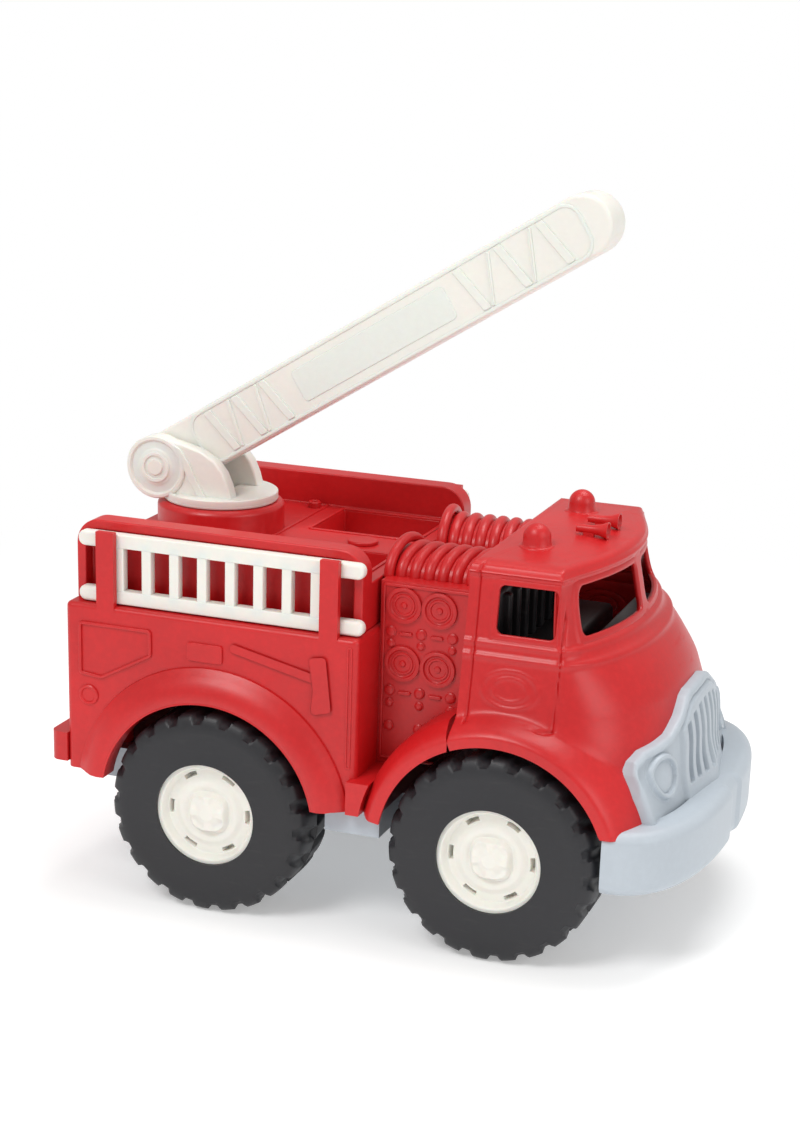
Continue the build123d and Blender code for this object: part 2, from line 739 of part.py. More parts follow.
def make_hub(axle_x, side):
    """Dished wheel centre: face plate, rim and a boss that reaches in to the chassis."""
    def ring(y0, y1, radius):
        low, high = sorted((side * y0, side * y1))
        return rod_y(axle_x, axle_z, low, high, radius)
    rim = ring(inner_face_y + 3, hub_face_y + hub_rim_lip, hub_radius)
    rim -= ring(inner_face_y + 2, hub_face_y + 2, hub_radius - shell_wall)
    plate = ring(hub_face_y - hub_plate, hub_face_y, hub_radius)
    boss = ring(chassis_half_width + boss_gap, hub_face_y + hub_rim_lip, hub_boss_radius)
    return rim + plate + boss - ring(0, hub_face_y, axle_radius)


def make_tyre(axle_x, side):
    """Tyre with rounded shoulders and a straight bore, hollow from its inner side."""
    low, high = sorted((side * inner_face_y, side * half_width))
    tyre = rod_y(axle_x, axle_z, low, high, tyre_radius)
    tyre = fillet(tyre.edges(), tyre_shoulder)
    near, far = sorted((side * (inner_face_y - 1), side * (half_width - tyre_wall)))
    groove = rod_y(axle_x, axle_z, near, far, tyre_radius - tyre_wall)
    groove -= rod_y(axle_x, axle_z, near, far, hub_radius + tyre_wall)
    bore = rod_y(axle_x, axle_z, low - 1, high + 1, hub_radius + seat_clearance)
    return tyre - groove - bore


if __name__ == "__main__":
    save(make_body_shell(), "body_shell", RED)
    save(make_deck(), "deck", RED)
    save(make_deck_plug(), "deck_plug", RED)
    save(make_pump_module(), "pump_module", RED)
    save(make_cab_shell(), "cab_shell", RED)
    save(make_cab_interior(), "cab_interior", BLACK)
    save(make_chassis(), "chassis", GREY)
    save(make_grille_bumper(), "grille_bumper", GREY)
    save(make_body_screws(), "body_screws", GREY)
    save(make_turntable(), "turntable", WHITE)
    save(make_turntable_retainer(), "turntable_retainer", WHITE)
    save(make_boom(), "boom", WHITE)
    save(make_boom_pin(), "boom_pin", WHITE)
    for side, side_name in ((-1, "right"), (1, "left")):
        save(make_hose_coil(side), f"hose_coil_{side_name}", RED)
        save(make_side_ladder(side), f"side_ladder_{side_name}", WHITE)
        for axle_x, axle_name in ((front_axle_x, "front"), (rear_axle_x, "rear")):
            save(make_hub(axle_x, side), f"hub_{axle_name}_{side_name}", WHITE)
            save(make_tyre(axle_x, side), f"tyre_{axle_name}_{side_name}", BLACK)
    save(make_axle(front_axle_x), "axle_front", GREY)
    save(make_axle(rear_axle_x), "axle_rear", GREY)
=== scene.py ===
"""A moulded plastic toy fire engine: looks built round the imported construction."""
import math

import bmesh
import bpy
import numpy as np
from mathutils import Matrix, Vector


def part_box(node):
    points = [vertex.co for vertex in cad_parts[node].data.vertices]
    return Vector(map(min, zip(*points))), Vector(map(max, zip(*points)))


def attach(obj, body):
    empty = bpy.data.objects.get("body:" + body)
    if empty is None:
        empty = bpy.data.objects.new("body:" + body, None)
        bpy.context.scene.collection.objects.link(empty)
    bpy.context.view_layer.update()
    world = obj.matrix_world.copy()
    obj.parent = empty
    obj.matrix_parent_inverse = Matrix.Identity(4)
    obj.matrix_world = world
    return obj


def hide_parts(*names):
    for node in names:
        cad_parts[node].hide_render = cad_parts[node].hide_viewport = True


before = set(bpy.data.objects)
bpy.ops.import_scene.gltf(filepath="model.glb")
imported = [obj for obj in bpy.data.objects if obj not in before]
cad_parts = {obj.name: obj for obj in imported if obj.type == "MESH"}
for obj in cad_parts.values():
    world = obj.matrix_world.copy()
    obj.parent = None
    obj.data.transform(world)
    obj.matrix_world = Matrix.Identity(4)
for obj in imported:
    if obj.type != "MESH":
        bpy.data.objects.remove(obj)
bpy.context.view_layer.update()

MM = 0.001


def corner(node, high):
    """Lowest or highest corner of a CAD node, in millimetres."""
    return np.array(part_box(node)[1 if high else 0]) / MM


# ------------------------------------------------------------------ places, in millimetres
tyre_low, tyre_high = corner("tyre_front_right", False), corner("tyre_front_right", True)
rear_tyre_low = corner("tyre_rear_right", False)
TYRE_R = (tyre_high[2] - tyre_low[2]) / 2
TYRE_W = tyre_high[1] - tyre_low[1]
AXLE_Z = (tyre_high[2] + tyre_low[2]) / 2
FRONT_X = (tyre_high[0] + tyre_low[0]) / 2
REAR_X = rear_tyre_low[0] + TYRE_R
OUTER_Y = -tyre_low[1]
HUB_R = (corner("hub_front_right", True)[0] - corner("hub_front_right", False)[0]) / 2

ARCH_R = TYRE_R + 3.8
FRONT_FLARE_R = 55.5
LIP_Y = OUTER_Y - 0.4

STEP_REAR = corner("body_shell", False)[0]
SILL_Z = corner("body_shell", False)[2]
PUMP_REAR, PUMP_FRONT = corner("pump_module", False)[0], corner("pump_module", True)[0]
DECK_Z = corner("pump_module", True)[2]
PUMP_Y = corner("pump_module", True)[1] - 1.2
BODY_REAR = STEP_REAR + 7.8
BODY_Y = 72.3

PIN_LOW, PIN_HIGH = corner("boom_pin", False), corner("boom_pin", True)
PIVOT_X, PIVOT_Z = (PIN_LOW[0] + PIN_HIGH[0]) / 2, (PIN_LOW[2] + PIN_HIGH[2]) / 2
RING_LOW, RING_HIGH = corner("turntable_retainer", False), corner("turntable_retainer", True)
COLLAR_X = (RING_LOW[0] + RING_HIGH[0]) / 2
COLLAR_TOP = 150.5
LADDER_LOW = corner("side_ladder_right", False)
CAB_REAR = PUMP_FRONT
BUMPER_HIGH = corner("grille_bumper", True)


# ------------------------------------------------------------------ mesh helpers
class Shape:
    """Gathers vertices and faces of several closed surfaces into one mesh."""

    def __init__(self):
        self.verts, self.faces, self.count = [], [], 0

    def add(self, verts, faces):
        verts = np.asarray(verts, float).reshape(-1, 3)
        self.verts.append(verts)
        self.faces += [[i + self.count for i in f] for f in faces]
        self.count += len(verts)

    def mirrored(self):
        """The same surfaces on both sides of the truck."""
        verts = np.concatenate(self.verts)
        both = Shape()
        both.add(verts, self.faces)
        both.add(verts * (1, -1, 1), [f[::-1] for f in self.faces])
        return both


def grid(points, close_u=False, close_v=False, cap_u=False, cap_v=False):
    """Quads over an array of points [u, v, xyz]; ends are joined or capped on request."""
    nu, nv = points.shape[:2]
    index = np.arange(nu * nv).reshape(nu, nv)
    rows = np.concatenate([index, index[:1]]) if close_u else index
    cols = np.concatenate([rows, rows[:, :1]], 1) if close_v else rows
    quads = np.stack([cols[:-1, :-1], cols[1:, :-1], cols[1:, 1:], cols[:-1, 1:]], -1)
    faces = quads.reshape(-1, 4).tolist()
    if cap_u:
        faces += [index[0].tolist(), index[-1][::-1].tolist()]
    if cap_v:
        faces += [index[:, 0][::-1].tolist(), index[:, -1].tolist()]
    return points.reshape(-1, 3), faces


def piece(name, shape, body, material, replaces=(), smooth=38.0):
    """Makes one object from a Shape in millimetres and binds it to its body."""
    mesh = bpy.data.meshes.new(name)
    mesh.from_pydata((np.concatenate(shape.verts) * MM).tolist(), [], shape.faces)
    mesh.validate()
    mesh.update()
    mesh.polygons.foreach_set("use_smooth", [True] * len(mesh.polygons))
    obj = bpy.data.objects.new(name, mesh)
    bpy.context.scene.collection.objects.link(obj)
    mesh.materials.append(material)
    recalculate(mesh)
    mesh.set_sharp_from_angle(angle=math.radians(smooth))
    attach(obj, body)
    if replaces:
        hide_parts(*replaces)
    return obj


def recalculate(mesh):
    """Turns every closed surface to face outwards."""
    work = bmesh.new()
    work.from_mesh(mesh)
    bmesh.ops.recalc_face_normals(work, faces=work.faces)
    work.to_mesh(mesh)
    work.free()


def offset(outline, distance):
    """A closed outline [n, 2], anticlockwise, moved outwards along its corner normals."""
    before, after = np.roll(outline, 1, 0), np.roll(outline, -1, 0)
    a = outline - before
    b = after - outline
    a /= np.linalg.norm(a, axis=1)[:, None]
    b /= np.linalg.norm(b, axis=1)[:, None]
    na = np.stack([a[:, 1], -a[:, 0]], 1)
    nb = np.stack([b[:, 1], -b[:, 0]], 1)
    mitre = (na + nb) / (1 + np.sum(na * nb, 1))[:, None]
    return outline + mitre * distance


def lift(flat, depth, plane):
    """Places a flat outline at a depth along the axis that the plane's name leaves out."""
    d = np.full(len(flat), depth)
    if plane == "xz":
        return np.stack([flat[:, 0], d, flat[:, 1]], 1)
    if plane == "yz":
        return np.stack([d, flat[:, 0], flat[:, 1]], 1)
    return np.stack([flat[:, 0], flat[:, 1], d], 1)


def prism(shape, outline, low, high, plane="xz", radius=0.8, steps=4):
    """An outline carried from low to high with its two rims rounded by quarter circles."""
    flat = 0.2 * radius
    loops = [lift(offset(outline, -radius - flat), low, plane)]
    for i in range(steps + 1):
        a = math.pi / 2 * i / steps
        loops.append(lift(offset(outline, -radius * (1 - math.sin(a))),
                          low + radius * (1 - math.cos(a)), plane))
    for i in range(steps + 1):
        a = math.pi / 2 * i / steps
        loops.append(lift(offset(outline, -radius * (1 - math.cos(a))),
                          high - radius * (1 - math.sin(a)), plane))
    loops.append(lift(offset(outline, -radius - flat), high, plane))
    shape.add(*grid(np.stack(loops), close_v=True, cap_u=True))


def frame_bar(shape, outline, width, low, high, plane="xz", radius=0.8, steps=3):
    """A rounded bar that follows a closed outline on its inner side."""
    section = []
    for corner_x, corner_y, start in ((width - radius, high - radius, 0),
                                      (radius, high - radius, 90),
                                      (radius, low + radius, 180),
                                      (width - radius, low + radius, 270)):
        for i in range(steps + 1):
            a = math.radians(start + 90 * i / steps)
            section.append((corner_x + radius * math.cos(a), corner_y + radius * math.sin(a)))
    loops = [lift(offset(outline, -d), depth, plane) for d, depth in section]
    shape.add(*grid(np.stack(loops), close_u=True, close_v=True))


def rounded(points, radius, steps=6):
    """A polygon with its corners rounded by arcs; radius is one value or one per corner."""
    points = np.asarray(points, float)
    n = len(points)
    radii = np.broadcast_to(radius, n)
    out = []
    for i in range(n):
        p, a, b = points[i], points[i - 1], points[(i + 1) % n]
        u, v = (a - p) / np.linalg.norm(a - p), (b - p) / np.linalg.norm(b - p)
        half = math.acos(np.clip(u @ v, -1, 1)) / 2
        if radii[i] < 1e-6 or abs(half - math.pi / 2) < 1e-3:
            out.append(p)
            continue
        reach = radii[i] / math.tan(half)
        middle = p + (u + v) / np.linalg.norm(u + v) * radii[i] / math.sin(half)
        start, end = p + u * reach - middle, p + v * reach - middle
        a0 = math.atan2(start[1], start[0])
        turn = (math.atan2(end[1], end[0]) - a0 + math.pi) % (2 * math.pi) - math.pi
        for k in range(steps + 1):
            a1 = a0 + turn * k / steps
            out.append(middle + radii[i] * np.array((math.cos(a1), math.sin(a1))))
    return np.array(out)


def box_outline(x0, x1, z0, z1):
    return [(x0, z0), (x1, z0), (x1, z1), (x0, z1)]


def lathe(shape, profile, centre, axis="z", n=64, closed=False):
    """A profile of (radius, height) turned about an axis through the centre."""
    profile = np.asarray(profile, float)
    a = np.linspace(0, 2 * math.pi, n, endpoint=False)
    r, h = profile[:, 0][None, :], profile[:, 1][None, :]
    c, s = np.cos(a)[:, None], np.sin(a)[:, None]
    zero = np.zeros_like(c)
    if axis == "z":
        p = np.stack([r * c, r * s, h + zero], -1)
    elif axis == "y":
        p = np.stack([r * c, h + zero, r * s], -1)
    else:
        p = np.stack([h + zero, r * c, r * s], -1)
    p = p + np.asarray(centre, float)
    shape.add(*grid(p, close_u=True, close_v=closed, cap_v=not closed))


def fender_edge(r):
    """How far out a fender reaches at radius r from its axle."""
    return LIP_Y - 0.3 - 31.0 * smoothstep(49.0, 66.0, r) - 5.0 * np.maximum(r - 58.0, 0)


def smoothstep(low, high, value):
    t = np.clip((value - low) / (high - low), 0, 1)
    return t * t * (3 - 2 * t)


# ------------------------------------------------------------------ materials
class Value:
    """A shader socket that takes arithmetic, so that formulas read as formulas."""

    def __init__(self, tree, socket):
        self.tree, self.socket = tree, socket

    def make(self, kind, inputs, output=0, **settings):
        """Adds a node, feeds it sockets or constants, and wraps one of its outputs."""
        node = self.tree.nodes.new(kind)
        for key, value in settings.items():
            setattr(node, key, value)
        for key, value in inputs.items():
            if isinstance(value, Value):
                self.tree.links.new(value.socket, node.inputs[key])
            else:
                node.inputs[key].default_value = value
        return Value(self.tree, node.outputs[output])

    def maths(self, operation, a, b=0.0):
        return self.make("ShaderNodeMath", {0: a, 1: b}, operation=operation)

    def __add__(self, other):
        return self.maths("ADD", self, other)

    def __mul__(self, other):
        return self.maths("MULTIPLY", self, other)

    def __sub__(self, other):
        return self.maths("SUBTRACT", self, other)

    def __rsub__(self, other):
        return self.maths("SUBTRACT", other, self)

    __radd__, __rmul__ = __add__, __mul__

    def step(self, low, high):
        """0 below low, 1 above high, smooth between."""
        return self.make("ShaderNodeMapRange", {"Value": self, "From Min": low, "From Max": high},
                         interpolation_type="SMOOTHSTEP")

    def noise(self, scale, detail=3.0, stretch=(1.0, 1.0, 1.0)):
        place = self.make("ShaderNodeMapping", {"Vector": self, "Scale": stretch})
        return self.make("ShaderNodeTexNoise",
                         {"Vector": place, "Scale": scale, "Detail": detail})


def mix(a, b, factor):
    """Colour a turning into colour b as the factor goes from 0 to 1."""
    return factor.make("ShaderNodeMix", {"Factor": factor, "A": a, "B": b}, output="Result",
                       data_type="RGBA")


def new_material(name):
    material = bpy.data.materials.new(name)
    material.use_nodes = True
    tree = material.node_tree
    place = tree.nodes.new("ShaderNodeTexCoord")
    return material, tree.nodes["Principled BSDF"], Value(tree, place.outputs["Object"])


def feed(principled, **values):
    """Sets constants on the shader's sockets and links anything that varies."""
    for key, value in values.items():
        socket = principled.inputs[key.replace("_", " ")]
        if isinstance(value, Value):
            value.tree.links.new(value.socket, socket)
        else:
            socket.default_value = value


def plastic(name, colour, roughness, grain=0.35, tint=0.12, dust=(0.5, 0.47, 0.44, 1.0),
            dusty=0.05, coat=0.0, scatter=0.0):
    """Moulded plastic: clouded pigment, a film of dust, handling scuffs and a satin grain."""
    material, principled, place = new_material(name)
    cloud = place.noise(14.0, 4.0).step(0.3, 0.7)
    fleck = place.noise(420.0, 2.0).step(0.35, 0.75)
    scuff = place.noise(90.0, 5.0, (1.0, 1.0, 5.0)).step(0.55, 0.8)
    deep = tuple(c * (1 - tint) for c in colour) + (1.0,)
    light = tuple(min(1.0, c * (1 + tint)) for c in colour) + (1.0,)
    pigment = mix(deep, light, cloud * 0.7 + fleck * 0.3)
    worn = mix(pigment, dust, scuff * dusty)
    rough = roughness + (cloud - 0.5) * 0.06 + scuff * 0.1 + fleck * 0.03
    skin = place.noise(2600.0, 2.0) * 0.6 + place.noise(260.0, 3.0) * 0.4
    bump = skin.make("ShaderNodeBump", {"Strength": grain, "Distance": 0.0001, "Height": skin},
                     output="Normal")
    feed(principled, Base_Color=worn, Roughness=rough, Normal=bump, Coat_Weight=coat,
         Coat_Roughness=0.25, Subsurface_Weight=scatter, Subsurface_Scale=0.004)
    return material


RED = plastic("red_plastic", (0.56, 0.011, 0.013), 0.36, dust=(0.66, 0.05, 0.05, 1.0), dusty=0.12)
WHITE = plastic("white_plastic", (0.82, 0.80, 0.74), 0.40, tint=0.03, scatter=0.15)
GREY = plastic("grey_plastic", (0.46, 0.51, 0.56), 0.42, tint=0.05)
BLACK = plastic("black_plastic", (0.014, 0.014, 0.016), 0.40, tint=0.2, dusty=0.03)
TYRE = plastic("black_tyre", (0.014, 0.014, 0.017), 0.46, grain=0.5, tint=0.2, dusty=0.02)


def brushed_steel():
    """Bright drawn wire: fine lines along it and a faint brown bloom."""
    material, principled, place = new_material("steel")
    lines = place.noise(900.0, 3.0, (1.0, 0.08, 1.0))
    bloom = place.noise(60.0, 4.0).step(0.5, 0.8)
    tone = mix((0.62, 0.62, 0.63, 1.0), (0.36, 0.31, 0.27, 1.0), bloom * 0.5)
    bump = lines.make("ShaderNodeBump", {"Strength": 0.3, "Distance": 0.00008, "Height": lines},
                      output="Normal")
    feed(principled, Base_Color=tone, Metallic=1.0, Roughness=0.25 + lines * 0.2, Normal=bump)
    return material


STEEL = brushed_steel()
SKINS = {"red_plastic": RED, "white_plastic": WHITE, "grey_plastic": GREY,
         "black_plastic": BLACK, "black_tyre": TYRE, "steel": STEEL}


def soften(node, body, slot, width=0.6, angle=28.0):
    """The construction's own surface for a node, with its moulded edges rounded over."""
    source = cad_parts[node]
    mesh = source.data.copy()
    mesh.name = node + "_skin"
    work = bmesh.new()
    work.from_mesh(mesh)
    bmesh.ops.remove_doubles(work, verts=work.verts, dist=2e-6)
    bmesh.ops.dissolve_limit(work, angle_limit=math.radians(0.6), verts=work.verts,
                             edges=work.edges)
    work.to_mesh(mesh)
    work.free()
    mesh.materials.clear()
    mesh.materials.append(SKINS[slot])
    mesh.polygons.foreach_set("use_smooth", [True] * len(mesh.polygons))
    mesh.set_sharp_from_angle(angle=math.radians(35))
    obj = bpy.data.objects.new(node + "_skin", mesh)
    bpy.context.scene.collection.objects.link(obj)
    edge = obj.modifiers.new("bevel", "BEVEL")
    edge.width, edge.segments, edge.limit_method = width * MM, 3, "ANGLE"
    edge.angle_limit = math.radians(angle)
    edge.harden_normals = True
    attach(obj, body)
    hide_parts(node)
    return obj


for node, body, slot, width in (
        ("deck", "truck", "red_plastic", 0.8), ("body_shell", "truck", "red_plastic", 0.8),
        ("pump_module", "truck", "red_plastic", 0.5),
        ("chassis", "truck", "grey_plastic", 0.4),
        ("deck_plug", "truck", "red_plastic", 0.4)):
    soften(node, body, slot, width)

for node, material in {"turntable_retainer": WHITE, "body_screws": STEEL,
                       "axle_front": STEEL, "axle_rear": STEEL}.items():
    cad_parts[node].data.materials.clear()
    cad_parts[node].data.materials.append(material)


# ------------------------------------------------------------------ wheels
def make_tyre(node, body, axle_x, side):
    """Tyre turned from its section, with chunky lugs: the tread radius drops by a groove
    wherever the lug wave is low, and the lugs reach a little way down the side wall.
    radius = section - depth * (1 - lug(angle)) * tread(section place)."""
    lugs, groove = 22, 1.9
    r, w = TYRE_R, TYRE_W
    bore = HUB_R - 0.2
    section = [(bore, 1.6), (bore, 0.0), (bore + 1.2, -0.1), (r * 0.62, 0.5), (r * 0.80, 0.0),
               (r * 0.86, 0.1), (r - 4.2, 0.5), (r - 2.2, 1.2), (r - 0.9, 2.4), (r - 0.25, 4.2),
               (r, 6.5), (r, 9.5), (r, 13.0), (r, w / 2 - 0.8), (r - 0.9, w / 2),
               (r, w / 2 + 0.8), (r, w - 13.0), (r, w - 9.5), (r, w - 6.5), (r - 0.25, w - 4.2),
               (r - 0.9, w - 2.4), (r - 2.2, w - 1.2), (r - 4.5, w - 0.4), (r * 0.8, w),
               (r * 0.8, w - 3.0), (bore + 4.0, w - 3.0), (bore + 4.0, w), (bore, w - 0.2)]
    section = np.array(section)
    n = lugs * 14
    a = np.linspace(0, 2 * math.pi, n, endpoint=False)[:, None]
    depth_in = section[None, :, 1]
    outer_half = depth_in < w / 2
    shift = np.where(outer_half, 0.0, 0.5)
    slant = 0.10 * np.where(outer_half, depth_in, w - depth_in)
    phase = (a * lugs / (2 * math.pi) + shift + slant * 0.25) % 1.0
    lug = smoothstep(0.0, 0.10, phase) * (1 - smoothstep(0.62, 0.72, phase))
    tread = smoothstep(r - 4.4, r - 2.4, section[None, :, 0])
    radius = section[None, :, 0] - groove * (1 - lug) * tread
    y = side * (OUTER_Y - np.maximum(depth_in + 0 * a, 0.0))
    points = np.stack([axle_x + radius * np.cos(a), y, AXLE_Z + radius * np.sin(a)], -1)
    shape = Shape()
    shape.add(*grid(points, close_u=True, close_v=True))
    return piece(node + "_tread", shape, body, TYRE, [node], smooth=42)


def make_hub(node, body, axle_x, side):
    """Dished wheel centre: depth(r, a) sets the face back from the tyre, with six slits
    near the rim and a raised, four-cornered centre cap with lobed recesses."""
    rings = np.concatenate([np.linspace(0.02, 9.5, 26), np.linspace(9.9, 14.0, 14),
                            np.linspace(14.3, 18.6, 26), np.linspace(18.9, HUB_R - 0.1, 12)])
    n = 288
    r = rings[None, :]
    a = np.linspace(0, 2 * math.pi, n, endpoint=False)[:, None]
    rim = smoothstep(17.6, 19.6, r)
    face = -2.2 + 3.6 * rim + 0.8 * smoothstep(15.0, 12.0, r) * smoothstep(8.0, 11.0, r)
    square = (np.abs(np.cos(a)) ** 3 + np.abs(np.sin(a)) ** 3) ** (-1 / 3)
    cap = smoothstep(1.0, 0.78, r / (8.8 * square))
    lobe = np.exp(-((r - 6.6) / 2.0) ** 2) * smoothstep(0.3, 1.0, np.abs(np.sin(2 * a)))
    face = face + cap * 3.4 - 1.3 * cap * lobe + 0.3 * smoothstep(4.0, 2.6, r)
    turn = (a * 6 / (2 * math.pi) + 0.5) % 1.0 - 0.5
    slit = smoothstep(0.17, 0.13, np.abs(turn)) * smoothstep(0.95, 0.65, np.abs(r - 16.5))
    face = face - 4.5 * slit
    centre = np.stack([axle_x + r * np.cos(a), side * (HUB_FACE + face),
                       AXLE_Z + r * np.sin(a)], -1)
    edge = [(HUB_R, 1.2), (HUB_R, 0.4), (HUB_R, -24.0), (18.0, -24.0), (18.0, -7.0),
            (8.0, -7.0), (8.0, -32.0), (3.2, -32.0)]
    back = [np.stack([axle_x + er * np.cos(a), side * (HUB_FACE + ed) + 0 * a,
                      AXLE_Z + er * np.sin(a)], -1) for er, ed in edge]
    points = np.concatenate([centre] + back, 1)
    shape = Shape()
    shape.add(*grid(points, close_u=True, cap_v=True))
    return piece(node + "_face", shape, body, WHITE, [node], smooth=40)


HUB_FACE = OUTER_Y - 2.9
for end, axle_x in (("front", FRONT_X), ("rear", REAR_X)):
    for name, side in (("right", -1), ("left", 1)):
        make_tyre(f"tyre_{end}_{name}", f"{end}_wheels", axle_x, side)
        make_hub(f"hub_{end}_{name}", f"{end}_wheels", axle_x, side)


# ------------------------------------------------------------------ cab
# Levels of the cab, and at each the nose, the half width, how far the front is bowed
# back at its sides, and the power of its superellipse.
CAB_Z = (50.0, 58.0, 80.0, 99.0, 110.0, 118.0, 126.0, 138.0, 148.0, 152.0)
CAB_NOSE = (114.0, 114.3, 115.3, 111.5, 105.5, 98.5, 91.5, 88.5, 86.5, 86.0)
CAB_HALF = (75.5, 75.5, 72.6, 67.6, 65.2, 63.6, 61.8, 59.8, 58.4, 58.0)
CAB_BOW = (0.0, 0.0, 0.0, 0.0, 2.0, 5.5, 9.5, 11.5, 12.0, 12.0)
CAB_POWER = (2.3, 2.3, 2.3, 2.15, 2.1, 2.3, 2.7, 2.8, 2.35, 2.2)
SHOULDER = CAB_REAR + 35.5
SEAMS = (41.8, 75.8)

# The roof above its eave, as (share of the eave's outline, height).
CROWN = [(1.008, 149.3), (1.012, 149.7), (1.008, 150.2), (0.997, 150.5), (0.992, 150.9)]
CROWN += [(0.985 - 0.13 * (1 - math.cos(v)), 151.0 + 2.6 * math.sin(v))
          for v in np.linspace(0.1, math.pi / 2, 11)]
CROWN += [(s, 155.3 - 2.5 * s ** 2) for s in np.linspace(0.82, 0.02, 20)]


def smooth_table(z, places, values):
    """A table read through monotone cubic pieces, so that the surface has no creases."""
    places, values = np.array(places), np.array(values)
    secant = np.diff(values) / np.diff(places)
    slope = np.concatenate([secant[:1], np.where(secant[1:] * secant[:-1] > 0, 2 * secant[1:]
                            * secant[:-1] / (secant[1:] + secant[:-1] + 1e-12), 0), secant[-1:]])
    i = np.clip(np.searchsorted(places, z) - 1, 0, len(places) - 2)
    h = places[i + 1] - places[i]
    t = np.clip((z - places[i]) / h, 0, 1)
    return ((2 * t ** 3 - 3 * t ** 2 + 1) * values[i] + (t ** 3 - 2 * t ** 2 + t) * h * slope[i]
            + (3 * t ** 2 - 2 * t ** 3) * values[i + 1] + (t ** 3 - t ** 2) * h * slope[i + 1])


def cab_point(f, z):
    """Place on the cab's plan at height z. f runs -2..-1 along the right side, -1..1 round
    the front as the angle of a bowed superellipse in right angles, and 1..2 along the left."""
    nose, half, bow, power = (smooth_table(z, CAB_Z, row)
                              for row in (CAB_NOSE, CAB_HALF, CAB_BOW, CAB_POWER))
    a = np.clip(f, -1, 1) * math.pi / 2
    c, s = np.abs(np.cos(a)), np.abs(np.sin(a))
    ball = (c ** power + s ** power) ** (-1 / power)
    across = s * ball
    x = SHOULDER + (nose - bow * across ** 2 - SHOULDER) * c * ball
    y = half * np.sign(a) * across
    x = np.where(np.abs(f) > 1, SHOULDER - (np.abs(f) - 1) * (SHOULDER - CAB_REAR), x)
    return x, y


def round_hole(f, z, f0, f1, z0, z1, span, radius):
    """Moves grid places near a hole's corners so that the hole gets round corners."""
    a, b = (f - (f0 + f1) / 2) * span, z - (z0 + z1) / 2
    ha, hb = (f1 - f0) / 2 * span, (z1 - z0) / 2
    m = np.maximum(np.abs(a) / ha, np.abs(b) / hb)
    m = np.maximum(m, 1e-6)
    qa, qb = np.abs(a) / m, np.abs(b) / m
    ca, cb = qa - (ha - radius), qb - (hb - radius)
    reach = np.hypot(ca, cb) + 1e-9
    corner_zone = (ca > 0) & (cb > 0)
    fade = smoothstep(1.5, 1.0, m)
    da = np.where(corner_zone, ca / reach * radius - ca, 0) * fade
    db = np.where(corner_zone, cb / reach * radius - cb, 0) * fade
    return f + np.sign(a) * da / span, z + np.sign(b) * db


def ridge(value, centre, width):
    return np.exp(-((value - centre) / width) ** 2)


